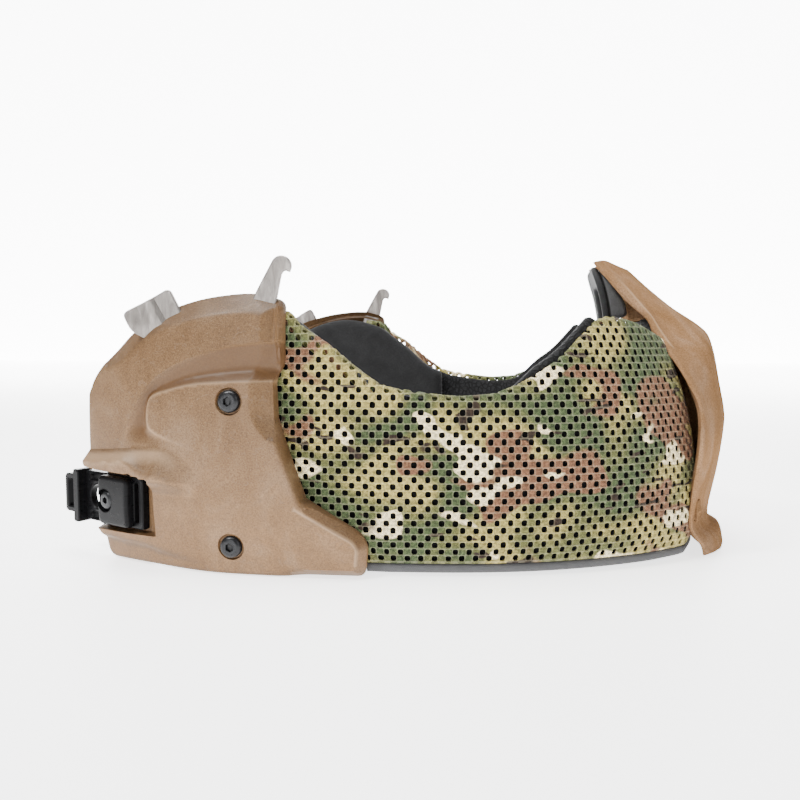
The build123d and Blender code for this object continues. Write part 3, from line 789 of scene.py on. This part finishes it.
def button_screw(radius, height, shank, place):
    """A domed head with a six-sided socket, and its shank."""
    six = 1 / np.cos((TURN + math.pi / 6) % (math.pi / 3) - math.pi / 6)
    socket = radius * 0.33
    rings = [(1.9, -shank), (1.9, 0), (radius, 0), (radius, 0.22 * height)]
    for t in (0.25, 0.5, 0.75, 1.0):
        bend = t * math.pi / 2
        rings.append((radius * (0.60 + 0.40 * math.cos(bend)), height * (0.22 + 0.78 * math.sin(bend))))
    rings += [(radius * 0.45, height), (socket * 1.12 * six, height), (socket * six, height * 0.9),
              (socket * six, height * 0.3), (socket * 0.2 * six, height * 0.2)]
    return lathe(rings, place)


def without_flat(shape):
    return (*shape[:2], None)


def joined(*shapes):
    """Several closed shapes as one piece."""
    polygons, count = [], 0
    for points, faces, _ in shapes:
        polygons += [tuple(i + count for i in f) for f in faces]
        count += len(points)
    return np.vstack([shape[0] for shape in shapes]), polygons, np.vstack([shape[2] for shape in shapes])


def make_screws(material):
    heads = []
    for x, z in SCREWS:
        seat = float(shell_y(np.array(x), np.array(z))) - 0.9

        def place(a, b, c, x=x, z=z, seat=seat):
            return np.column_stack([x + a, -seat - c, z + b])

        heads.append(button_screw(3.8, 2.2, seat - 77.0, place))
    both_sides("shell_screws_visual", joined(*heads), material, "side", ["shell_screws"], 30)


def on_anchor(a, b, c):
    """Along the strap anchor, up it, and out of the pocket floor."""
    cos, sin = math.cos(ANCHOR_ANGLE), math.sin(ANCHOR_ANGLE)
    return np.column_stack([
        ANCHOR_AT[0] + a * cos - c * sin,
        ANCHOR_AT[1] - a * sin - c * cos,
        ANCHOR_AT[2] + b,
    ])


TRACK, CLAMP_LOW, CLAMP = 3.0, 3.1, 3.2    # thickness of the track; underside and thickness of the clamp
RAIL_AT, RAIL_HALF, RAIL_ENDS = 7.1, 0.85, (-12.5, 6.5)
BEVEL_ROWS = (0.2, 0.36)


def bevelled(low, high, bevel=0.35):
    """The two faces of a plate with the same small bevel round both."""
    return lambda a, b, d: high - chamfer(d, bevel), lambda a, b, d: low + chamfer(d, bevel)


def track_face(a, b, edge):
    groove = (np.abs(np.abs(b) - RAIL_AT) < RAIL_HALF) & (a > RAIL_ENDS[0]) & (a < RAIL_ENDS[1])
    return TRACK - chamfer(edge, 0.35) - np.where(groove, 0.9, 0.0)


def slot_outline(x0, x1, half):
    quarter = math.pi / 2
    right = arc((x1 - half, 0), half, -quarter, quarter, 14)
    left = arc((x0 + half, 0), half, quarter, 3 * quarter, 14)
    return np.vstack([right, left, right[:1]])


def anchor_plate(outline, faces, step, **extra):
    return slab(outline, *faces, on_anchor, step, rows=BEVEL_ROWS, **extra)


def make_anchors(polymer, steel):
    """The sliding track with its loop and toothed bar, and the clamp plate and screw over it."""
    start, end = RAIL_ENDS
    rails = [box_outline(start, y - RAIL_HALF, end, y + RAIL_HALF, 0.4) for y in (-RAIL_AT, RAIL_AT)]
    windows = [slot_outline(-13, 10, 4.6), box_outline(12.2, -7, 14.6, 7, 0.5)]
    faces = (track_face, bevelled(0.0, TRACK)[1])
    plate = anchor_plate(box_outline(-16.0, -9.2, 17.0, 9.2, 1.2), faces, 0.9, holes=windows, lines=rails)
    flange = anchor_plate(box_outline(-18.6, -9.8, -15.4, 9.8, 0.8), bevelled(0.0, 6.5), 0.7)
    ring, window = box_outline(-27.75, -7.25, -17.2, 7.25, 1.8), box_outline(-25.8, -5.3, -19.4, 5.3, 0.6)
    loop = anchor_plate(ring, bevelled(0.8, 3.8), 0.7, holes=[window])
    track = joined(plate, flange, loop)
    both_sides("anchor_track_visual", track, polymer, "anchor", ["anchor_track"], 25)

    def across(a, b, c):
        return on_anchor(-22.0 + a, c - 5.3, 2.3 + b)

    bar = [lathe([(0.9, 0.0), (0.9, 10.6)], across)]
    for at in (-4.35 + 1.24 * i for i in range(8)):
        tooth = box_outline(-22.65, at - 0.3, -21.35, at + 0.3, 0.1)
        bar.append(slab(tooth, *bevelled(2.4, 3.6, 0.12), on_anchor, 0.3))
    both_sides("strap_bar_visual", joined(*bar), steel, "anchor", ["strap_bar"], 25)
    clamp_top = CLAMP_LOW + CLAMP
    seat_height = clamp_top - 1.8

    def clamp_face(a, b, edge):
        swell = 0.5 * (1 - np.clip(np.abs(b) / 8.8, 0, 1) ** 2)
        return np.where(np.hypot(a, b) < 4.2, seat_height, clamp_top - 0.4 + swell - rounding(edge, 1.1))

    clamp = slab(
        box_outline(-4.25, -8.8, 12.25, 8.8, 2.0), clamp_face, bevelled(CLAMP_LOW, 0)[1], on_anchor, 0.8,
        rows=edge_rows(1.1), lines=[circle((0, 0), r) for r in (4.1, 4.3)], holes=[circle((0, 0), 2.2)],
    )
    both_sides("clamp_visual", clamp, polymer, "side", ["clamp_plate"], 35)

    def seat(a, b, c):
        return on_anchor(a, b, c + seat_height)

    screw = button_screw(3.4, 1.7, 10.0, seat)
    both_sides("anchor_screw_visual", screw, steel, "side", ["anchor_screw"], 30)


# ---- Cheek cloth ------------------------------------------------------------------------------
CELL_X, CELL_Z = 2.3, 2.46                 # every second cell of the net is a hole
HOLE_X, HOLE_Z, SQUARENESS = 0.98, 1.05, 0.7  # half the size of a hole, and the power of its round corners
CLOTH = 1.0
FOLD = 1.35                                # radius of the turned top edge
FLAP = 5.0                                 # how far the turned edge goes down inside
FOOT = 4.1                                 # height of the lower edge of cloth and lining
PLAN = smooth_curve([
    (-60, -81.5), (-44, -81.5), (-30, -81.5), (-12, -81.5), (1, -81.4), (7, -80.9), (30, -77.3), (52, -71.5),
    (72, -63), (90, -52.5), (101, -43.5), (107.2, -37.2), (110, -31.8),
], 0.5)                                    # (x, y) round the foot of the cheek
PLAN_LENGTH = lengths_along(PLAN)
CLOTH_END = float(PLAN_LENGTH[-1])


def plan_length(x):
    return float(np.interp(x, PLAN[:, 0], PLAN_LENGTH))


HINGE_S = plan_length(7.0)
TOP_EDGE = smooth_curve([
    (-45, 90.5), (-31, 88.5), (-25.7, 83.5), (-16, 77), (-6, 68.8), (1, 64.3), (7.3, 62.6), (23.7, 60.4),
    (33.3, 60.6), (39.8, 61.6), (49.5, 65.8), (59.3, 72.4), (66, 79.1), (71.8, 85), (77.1, 86.6),
    (85.4, 85.1), (90.8, 82.7), (97, 79.5),
], 0.5)                                    # (x, z) along the top of the cloth
PUCKERS = (((-31, 66), (-12, 55)), ((-33, 60), (-16, 48)), ((-31, 72), (-16, 62)), ((-24, 84), (4, 66)))


def lean(z):
    return 15.0 * (np.clip(z - 18.0, 0, None) / 65.0) ** 2.3


def on_plan(s):
    return np.column_stack([np.interp(s, PLAN_LENGTH, PLAN[:, k]) for k in (0, 1)])


def lean_at(s, z):
    """How far the cheek leans back: not at all at its hinge, and fully where it meets the guard."""
    return lean(z) * np.clip((s - HINGE_S) / (CLOTH_END - HINGE_S), 0, 1) ** 2


def make_top_table():
    """Height of the cloth's top edge for lengths along its foot."""
    lengths = np.linspace(0, CLOTH_END, 400)
    heights = np.linspace(50, 100, 501)
    tops = []
    for s in lengths:
        over = heights - np.interp(on_plan(s)[0, 0] - lean_at(s, heights), TOP_EDGE[:, 0], TOP_EDGE[:, 1])
        tops.append(heights[np.argmax(over > 0)])
    return lengths, np.array(tops)


TOP_S, TOP_Z = make_top_table()


def top_at(s):
    return np.interp(s, TOP_S, TOP_Z)


def cheek_point(s, z, depth):
    """A point of the soft cheek: s along its foot, z up, and depth in from the cloth's outer face."""
    x, y = on_plan(s).T
    inward = to_the_left(on_plan(s + 0.6) - on_plan(s - 0.6))
    tuck = 3.0 * (1 - ease(3.0, 15.0, z)) ** 2 * ease(-30, 0, x)
    up = z - top_at(s)
    rear_swell = 1.3 * ease(-31, -14, x) * (1 - ease(20, 75, x)) * ease(10, 34, z) * (1 - ease(-26, -2, up))
    front_swell = 1.2 * ease(40, 70, x) * (1 - ease(88, 104, x)) * ease(8, 30, z) * (1 - ease(-30, -4, up))
    swell = rear_swell + front_swell
    at = np.column_stack([x, z])
    for line in PUCKERS:
        gap, along, _ = nearest(at, np.array(line))
        swell = swell + 0.75 * np.exp(-((gap / 1.7) ** 2)) * (1 - along) * ease(0.0, 0.12, along)
    depth = depth + tuck - swell
    return np.column_stack([x - lean_at(s, z) + inward[:, 0] * depth, y + inward[:, 1] * depth, z])


def cloth_point(s, v, out):
    """A point of the cloth: v runs up it, over the turned edge and down the flap; out is its thickness."""
    top = top_at(s)
    bend = top - FOLD
    angle = np.clip((v - bend) / FOLD, 0, math.pi)
    down = np.clip(v - bend - FOLD * math.pi, 0, None)
    z = np.minimum(v, bend) + (FOLD + out) * np.sin(angle) - down
    depth = CLOTH / 2 + FOLD - (FOLD + out) * np.cos(angle)
    return cheek_point(s, z, depth)


def squared(wave, power):
    """A wave that turns a circle into a rounded box: the lower the power, the squarer the box."""
    return np.sign(wave) * np.abs(wave) ** power


def net_points(s_from, s_to):
    """Flat mesh of the net: points in (s, v), triangles, and which points are raised or on a rim."""
    ring = 12
    turn = np.linspace(0, 2 * math.pi, ring, endpoint=False) + math.pi / ring
    hole = squared(np.column_stack([np.cos(turn), np.sin(turn)]), SQUARENESS) * (HOLE_X, HOLE_Z)
    along = np.linspace(s_from, s_to, int((s_to - s_from) / 0.9) + 1)
    last = top_at(along) + FOLD * (math.pi - 1) + FLAP

    def end_rows(s, top):
        """Points up one end of the cloth, without those at its corners."""
        rows = int((top - FOOT) / 1.1)
        return np.column_stack([np.full(rows - 1, s), np.linspace(FOOT, top, rows + 1)[1:-1]])

    low = np.column_stack([along, np.full(len(along), FOOT)])
    high = np.column_stack([along, last])[::-1]
    rim = np.vstack([low, end_rows(s_to, last[-1]), high, end_rows(s_from, last[0])[::-1]])
    points, kinds, holes = [rim], [np.ones(len(rim))], []
    edges = [(i, (i + 1) % len(rim)) for i in range(len(rim))]
    total = len(rim)
    rng = np.random.default_rng(7)
    margin = 2.05                          # no hole stands nearer than this to the cloth's edge
    for i in range(int(s_from / CELL_X), int(s_to / CELL_X) + 1):
        for j in range(int(FOOT / CELL_Z), int(last.max() / CELL_Z) + 1):
            centre = np.array([(i + 0.5) * CELL_X, (j + 0.5) * CELL_Z])
            ceiling = min(np.interp(centre[0] + k, along, last) for k in (-margin, 0, margin)) - margin
            if not (s_from + margin < centre[0] < s_to - margin and FOOT + margin < centre[1] < ceiling):
                continue
            if (i + j) % 2:
                points.append(centre[None] + rng.uniform(-0.1, 0.1, (1, 2)))
                kinds.append(np.array([2.0]))
                total += 1
                continue
            middle = centre + rng.uniform(-0.09, 0.09, 2)
            size = rng.uniform(0.92, 1.06, 2)
            edges += [(total + k, total + (k + 1) % ring) for k in range(ring)]
            holes.append((middle, size))
            points += [middle + hole * size, middle + hole * size * 1.22]
            kinds += [np.ones(ring), np.zeros(ring)]
            total += 2 * ring
    at, faces, places = triangulated(np.vstack(points), edges, 1e-6)
    source = np.array([ids[0] for ids in places])
    middle = at[faces].mean(1)
    keep = inside(middle, np.vstack([rim, rim[:1]]))
    centres, sizes = (np.array(c) for c in zip(*holes))
    cell = np.floor(middle / (CELL_X, CELL_Z)).astype(int)
    index = {tuple(c): k for k, c in enumerate(np.floor(centres / (CELL_X, CELL_Z)).astype(int).tolist())}
    own = np.array([index.get(tuple(c), -1) for c in cell.tolist()])
    off = np.abs(middle - centres[own]) / (np.array([HOLE_X, HOLE_Z]) * sizes[own] * 0.97)
    in_hole = (own >= 0) & ((off ** (2 / SQUARENESS)).sum(1) < 0.93)
    used, at, faces = used_only(at, faces[keep & ~in_hole])
    return at, faces, np.concatenate(kinds)[source][used]


def two_faced(flat, faces, kind, place):
    """A closed sheet from a flat mesh; rims are thinned and the solid cells stand proud."""
    out = np.where(kind == 1, CLOTH * 0.22, np.where(kind == 2, CLOTH * 0.5 + 0.2, CLOTH * 0.5))
    back = np.where(kind == 1, -CLOTH * 0.22, -CLOTH * 0.5)
    verts = np.vstack([place(flat[:, 0], flat[:, 1], thickness) for thickness in (out, back)])
    return verts, two_sided(faces, len(flat)), np.vstack([flat, flat])


def bend_pieces(made):
    """Bakes each cheek piece's pose into its points; the two places on the line where it hinges on the front
    are worked out but not used.
    """
    for (side, way), piece in zip(SIDES, made.values()):
        rear, front = (-0.010, -0.081 * way, 0.03), (0.028, -0.081 * way, 0.03)
        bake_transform(piece)
        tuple(front)
        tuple(rear)


def make_cloth(materials):
    flat, faces, kind = net_points(plan_length(-40.0), CLOTH_END)
    shape = two_faced(flat, faces, kind, cloth_point)
    made = both_sides("camo_cloth", shape, materials, None, ["camo_panel", "cloth_margin"], 60)
    bend_pieces(made)
    width, length = np.ptp(flat, axis=0)
    area = float(np.ptp(flat[:, 0]) * (top_at(flat[:, 0]).mean() + FLAP + FOLD - FOOT))


def make_liners(material):
    start = plan_length(-2.0)
    along = np.linspace(start, CLOTH_END - 0.6, 90)
    rise = -1.6 + 4.4 * ease(start + 42, start + 58, along) * (1 - ease(start + 82, start + 88, along))
    upper = np.column_stack([along, top_at(along) + rise])[::-1]
    outline = np.vstack([[(start, FOOT), (CLOTH_END - 0.6, FOOT)], upper, [(start, FOOT)]])
    faces = (lambda s, z, d: 2.1 + rounding(d, 1.2), lambda s, z, d: 6.0 - rounding(d, 1.4))
    shape = slab(outline, *faces, cheek_point, 2.2, rows=edge_rows(1.4))
    made = both_sides("liner", shape, material, None, ["cheek_liner"], 60)
    bend_pieces(made)


def make_pads(material):
    upper = smooth_curve([(1.6, 62.6), (-7, 67.4), (-16, 75.4), (-24, 81.3), (-31, 86.2), (-46, 90),
                          (-60, 88.5), (-74, 82), (-82, 70)], 1.0)
    outline = np.vstack([rounded([(-82, 69), (-82, 2.6), (1.6, 2.6), (1.6, 62)], [0, 6, 2, 0]), upper])

    def inner(x, z, d):
        return 66.6 + rounding(d, 4.2) - 1.9 * ease(0, 26, d)

    def outer(x, z, d):
        return 74.6 - rounding(d, 4.0) + 2.8 * (1 - ease(56, 80, z + 0.6 * x))

    shape = slab(outline, outer, inner, upright, 2.4, rows=edge_rows(4.2))
    made = both_sides("ear_pad_visual", shape, material, "side", ["ear_pad"], 60)


# ---- Mouth mesh and edging --------------------------------------------------------------------
def front_x(y, z):
    return 107.2 - 0.4 - lean(z) + 5.6 * (1 - (np.abs(y) / 33.0) ** 2)


def make_mouth(material):
    def place(y, z, depth):
        return np.column_stack([front_x(y, z) - depth, y, z])

    half, side, top, corner = 32.8, 78, 87, 25
    corners = [(-half, FOOT), (half, FOOT), (half, side), (corner, top), (-corner, top), (-half, side)]
    outline = rounded(corners, 3.0, closed=True)
    faces = (lambda y, z, d: rounding(d, 0.9), lambda y, z, d: 3.5 - rounding(d, 0.9))
    shape = without_flat(slab(outline, *faces, place, 2.2, rows=edge_rows(0.9)))
    piece = make_piece("mouth_panel", shape, material, "face_front", ["mouth_mesh"], 60)


def make_edging(material):
    """Half of the edging on each side, each its own piece."""
    s = np.arange(plan_length(-4.0), CLOTH_END - 3.0, 1.2)
    stations = cheek_point(s, np.full(len(s), FOOT), 0.0)[:, :2]
    middle = (112.6, 0.0)
    front = smooth_curve([*stations[-2:], (111.0, -16.0), middle], 1.2)[4:]
    ahead = front[front[:, 0] > stations[-1, 0] + 0.3]
    chain = even(smooth_curve(np.vstack([stations, ahead, [middle]]), 0.8), 0.7)
    inward = to_the_left(np.gradient(chain, axis=0))
    turn = np.linspace(0, 2 * math.pi, 20, endpoint=False)
    across, high = 2.3 + 2.35 * squared(np.cos(turn), 0.6), 2.36 + 1.66 * squared(np.sin(turn), 0.8)
    tape = np.column_stack([across, high])
    verts = [(*(at + way * reach), height) for at, way in zip(chain, inward) for reach, height in tape]
    flat = [(length, girth) for length in lengths_along(chain) for girth in lengths_along(tape)]
    shape = (np.array(verts), tube_polygons(len(chain), len(turn)), flat)
    made = both_sides("edging", shape, material, None, [], 60)
    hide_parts("bottom_binding")
    bend_pieces(made)


# ---- Nose and mouth guard ---------------------------------------------------------------------
# Each chain is (x, height) or (x, height, half width), from the top down.
GUARD_FRONT = ((77.2, 111.6), (80.6, 110.3), (84.2, 108.6), (86.4, 108.0), (94.6, 100.4), (104.2, 92.3),
               (114.8, 85.0), (119.0, 79.4), (122.3, 63.8), (124.5, 52.6), (124.7, 45.6), (122.6, 28.7),
               (119.5, 10.4), (124.0, 6.4), (125.4, 0.0))
GUARD_RIDGE = ((76.4, 111.3, 7), (80.4, 109.0, 9), (92.4, 97.7, 12), (105.8, 86.2, 17), (114.6, 75.5, 21.5),
               (117.4, 59.3, 24), (118.3, 49.6, 25), (117.3, 36.4, 25), (114.0, 21, 24), (113.7, 11, 23.5),
               (119.0, 5.6, 22.5), (121.4, 0.0, 21.5))
GUARD_SIDE = ((75.6, 111.0, 11.5), (79.4, 107.0, 13), (88.8, 97.7, 16.5), (101.4, 77.6, 30),
              (107.6, 71.5, 31.0), (111.6, 59.3, 34), (113.4, 49.6, 35), (112.9, 36.4, 34.5),
              (110.6, 21, 33.0), (110.3, 11, 31.5), (115.2, 5.6, 30.0), (117.6, 0.0, 28.5))
GUARD_EDGE = ((72.9, 110.0, 17.0), (75.6, 105.8, 19.5), (84.0, 94.9, 23.5), (91.1, 87.6, 27),
              (93.4, 82.1, 31), (97.0, 76.4, 34.5), (99.6, 73.6, 37.0), (104.5, 65.1, 42), (109, 55, 44),
              (109.4, 41.6, 44), (107.8, 24.1, 41), (107.6, 12, 39), (111.9, 5.0, 36.8), (113.4, 0.0, 34))
CREASE = 0.42                              # where the hood's crease lies on the way from side to edge
FLANK = (0, 0.14, 0.28, CREASE, 0.56, 0.70, 0.82, 0.91, 0.965, 0.99, 1.0)  # columns on that way
CREASE_COLUMN = len(FLANK) - 1 - FLANK.index(CREASE)


def guard_chain(chain, share):
    """A chain as a smooth line with a point for each share of its height."""
    line = smooth_curve([p if len(p) == 3 else (p[0], p[1], 0.0) for p in chain], 0.5)
    top, low = line[0, 1], line[-1, 1]
    z = top + (low - top) * share
    order = np.argsort(line[:, 1], kind="stable")
    return np.column_stack([np.interp(z, line[order, 1], line[order, k]) for k in (0, 2, 1)])


def guard_points():
    """Outer face as rows of points from the right edge to the left edge, from the top down."""
    near_end = np.array([0, 0.0015, 0.005, 0.011])
    share = np.concatenate([near_end, np.linspace(0.018, 0.982, 110), 1 - near_end[::-1]])
    chains = (GUARD_FRONT, GUARD_RIDGE, GUARD_SIDE, GUARD_EDGE)
    front, ridge, side, edge = (guard_chain(chain, share) for chain in chains)
    shares = np.linspace(0, 1, 12, endpoint=False)
    columns = [ridge + (front - ridge) * (1 - t**1.7, 1 - t, 1 - t) for t in shares]
    columns += [ridge + (side - ridge) * t for t in np.linspace(0, 1, 7, endpoint=False)]
    # The hood's flank has a crease along it, which dies out at the hood's top and ends in a corner below.
    crest = 2.2 * ease(75.0, 78.0, side[:, 2]) * (1 - ease(104.0, 109.0, side[:, 2]))
    for t in FLANK:
        column = side + (edge - side) * t
        column[:, 1] += crest * min(t / CREASE, (1 - t) / (1 - CREASE))
        columns.append(column)
    half = np.stack(columns, axis=1)
    soft = half.copy()
    soft[1:-1, 1:-1] = 0.6 * half[1:-1, 1:-1] + 0.1 * (
        half[:-2, 1:-1] + half[2:, 1:-1] + half[1:-1, :-2] + half[1:-1, 2:])
    right = soft[:, ::-1] * (1, -1, 1)
    return np.concatenate([right, soft[:, 1:]], axis=1)


def grid_normals(grid):
    """Unit vectors out of a grid whose rows run from the wearer's right to the left, from the top down."""
    normal = np.cross(np.gradient(grid, axis=0), np.gradient(grid, axis=1))
    return normal / np.maximum(np.linalg.norm(normal, axis=-1, keepdims=True), 1e-9)


def edge_reach(grid):
    """Distance of each point of a grid from the nearest of the grid's four edges."""
    reaches = []
    for turned in (grid, grid.transpose(1, 0, 2)):
        steps = np.cumsum(np.linalg.norm(np.diff(turned, axis=0), axis=-1), axis=0)
        along = np.concatenate([np.zeros((1, turned.shape[1])), steps])
        reaches.append(np.minimum(along, along[-1:] - along))
    return np.minimum(reaches[0], reaches[1].T)


def make_guard(material):
    grid = guard_points()
    normal = grid_normals(grid)
    wall, thin = 3.2, 1.4                  # thickness of the guard, and of its thinner side edges
    across = np.abs(grid[..., 1])
    side_reach = (across.max(axis=1, keepdims=True) - across) * 1.6
    fall = rounding(edge_reach(grid), 1.0)
    depth = thin + (wall - thin) * ease(0, 8, side_reach) - 0.3 * fall
    verts = np.vstack([(grid - normal * inset[..., None]).reshape(-1, 3) for inset in (fall, depth)])
    verts[:, 2] = np.maximum(verts[:, 2], 0.0)
    height, width = grid.shape[:2]
    n = height * width
    polygons = []
    for i in range(height - 1):
        for j in range(width - 1):
            a, b, c, d = i * width + j, i * width + j + 1, (i + 1) * width + j + 1, (i + 1) * width + j
            polygons += [(a, d, c, b), (a + n, b + n, c + n, d + n)]
    rim = [*range(width), *(i * width + width - 1 for i in range(1, height))]
    rim += [*range(n - 2, n - width - 1, -1), *(i * width for i in range(height - 2, 0, -1))]
    polygons += [(a, b, b + n, a + n) for a, b in zip(rim, rim[1:] + rim[:1])]
    shape = (verts, polygons, None)
    guard = make_piece("guard", shape, material, "face_front", ["front_guard"], 24)
    # Painted highlight along the hood's crease.
    painted_highlight = np.zeros(grid.shape[:2])
    z = grid[:, CREASE_COLUMN, 2]
    for column in (CREASE_COLUMN, -1 - CREASE_COLUMN):
        painted_highlight[:, column] = ease(75, 78, z) * (1 - ease(96, 106, z))
    paint([guard], "painted_highlight", np.tile(painted_highlight.ravel(), 2))


def make_guard_mounts(tan):
    """The wedge behind the hood, and a riveted clip at each lower corner of the guard."""
    side = rounded([(85.8, 86.6), (95.0, 87.4), (91.8, 94.3), (84.4, 97.2)], 0.9, closed=True)

    def place(x, z, y):
        return np.column_stack([x, y, z])

    verts, polygons, _ = slab(side, *bevelled(-12.0, 12.0, 0.8), place, 1.2, rows=(0.3, 0.82))
    wedge = (verts, flipped(polygons), None)
    make_piece("guard_wedge", wedge, tan, "face_front", ["guard_bracket"], 30)

    def on_cheek(a, b, out):
        return cheek_point(CLOTH_END - 2.2 + a, 17.0 + b, -out)

    def clip_face(a, b, d):
        rivet = 0.7 * np.sqrt(np.clip(1 - (a**2 + b**2) / 1.5**2, 0, 1))
        return 1.6 + rivet - rounding(d, 0.5)

    def clip_back(a, b, d):
        return np.full(len(a), 0.1)

    outline = box_outline(-2.2, -4.0, 2.2, 4.0, 1.2)
    clip = slab(outline, clip_face, clip_back, on_cheek, 0.5, rows=edge_rows(0.5))
    both_sides("guard_clip_visual", clip, tan, None, ["guard_clip"], 40)
    for name, _ in SIDES:
        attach(bpy.data.objects[f"{name}_guard_clip_visual"], "face_front")


# ---- Nose pad ---------------------------------------------------------------------------------
NOSE_LEAN = math.radians(-17.0)
NOSE_AT = (78.0, 0.0, 86.0)


def on_nose(y, up, out):
    """Across the nose, up the pad and out in front of it; the pad curls back a little at its top."""
    out = out + 0.9 * np.sin((up - 3.0) / 22.0 * math.pi) - 0.0022 * y**2
    return np.column_stack([
        NOSE_AT[0] + out * math.cos(NOSE_LEAN) + up * math.sin(NOSE_LEAN),
        y,
        NOSE_AT[2] - out * math.sin(NOSE_LEAN) + up * math.cos(NOSE_LEAN),
    ])


def arch_outline(spread):
    """An arch with its feet on zero; spread moves its outline outwards."""
    half, gap = 19.0 + spread, 11.5
    outer = [(-half, 0.2), (-half, 22.0 + spread), (half, 22.0 + spread), (half, 0.2)]
    inner = [(gap, 0.2), (gap, 14.5), (-gap, 14.5), (-gap, 0.2)]
    return rounded(outer + inner, [1.6, 9.5, 9.5, 1.6, 1.6, 6, 6, 1.6], closed=True)[::-1]


def soft_layer(spread, low, high, radius, foot=0.0):
    """A layer of the nose pad between two heights; foot is how much thicker it is at its lower end."""
    def upper(y, z, d):
        return high + foot * (1 - ease(4, 13, z)) - rounding(d, radius)

    def lower(y, z, d):
        return low + rounding(d, radius)

    return without_flat(slab(arch_outline(spread), upper, lower, on_nose, 1.2, rows=edge_rows(radius)))


def make_nose(rubber, foam):
    rim, pad = soft_layer(-0.8, 2.0, 6.2, 1.5, 2.6), soft_layer(0.6, -0.4, 2.2, 1.2)
    make_piece("nose_frame_visual", rim, rubber, "face_front", ["nose_frame"], 60)
    piece = make_piece("nose_cushion_visual", pad, foam, "face_front", ["nose_cushion"], 60)


# ---- Scene ------------------------------------------------------------------------------------
def paint_hidden_nodes(materials):
    """The clamping parts inside the cheeks are carried over from the CAD and only need a finish."""
    for name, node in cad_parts.items():
        kind = name.split("_", 1)[1] if name.startswith(("right_", "left_")) else name
        if kind in materials:
            node.data.materials.clear()
            node.data.materials.append(materials[kind])


make_camera()
make_studio()
# The last argument paints shade on the shell's up-facing surfaces and light on the guard's.
tan = tan_polymer("tan_polymer", 0.25, (0.98, 1.02, 1.12), 0.62)
guard_tan = tan_polymer("guard_tan", 0.0, (1.22, 1.28, 1.55), 1.25)
polymer, steel, hooks = black_polymer(), black_steel(), hook_steel()
camo = {"right": camouflage("camo_right", 0.0), "left": camouflage("camo_left", 140.0)}
liner_fabric = spacer_mesh("liner_mesh", 2.1, ((0.0075, 0.0075, 0.008), (0.0006, 0.0006, 0.0006)))
mouth_fabric = spacer_mesh("mouth_mesh", 1.6, ((0.006, 0.006, 0.0065), (0.0006, 0.0006, 0.0006)))
make_shells(tan)
make_hooks(hooks)
make_screws(steel)
make_anchors(polymer, steel)
make_liners(liner_fabric)
make_cloth(camo)
make_pads(napped_cloth())
make_mouth(mouth_fabric)
make_edging(woven_tape())
make_guard(guard_tan)
make_guard_mounts(guard_tan)
make_nose(
    nose_rubber("nose_rubber", (0.020, 0.0196, 0.0196), (0.045, 0.044, 0.044), 0.45),
    nose_rubber("nose_foam", (0.004, 0.004, 0.0044), (0.010, 0.010, 0.0105), 0.75),
)
paint_hidden_nodes({"backing_plate": polymer, "shell_nuts": steel, "anchor_nut": steel})
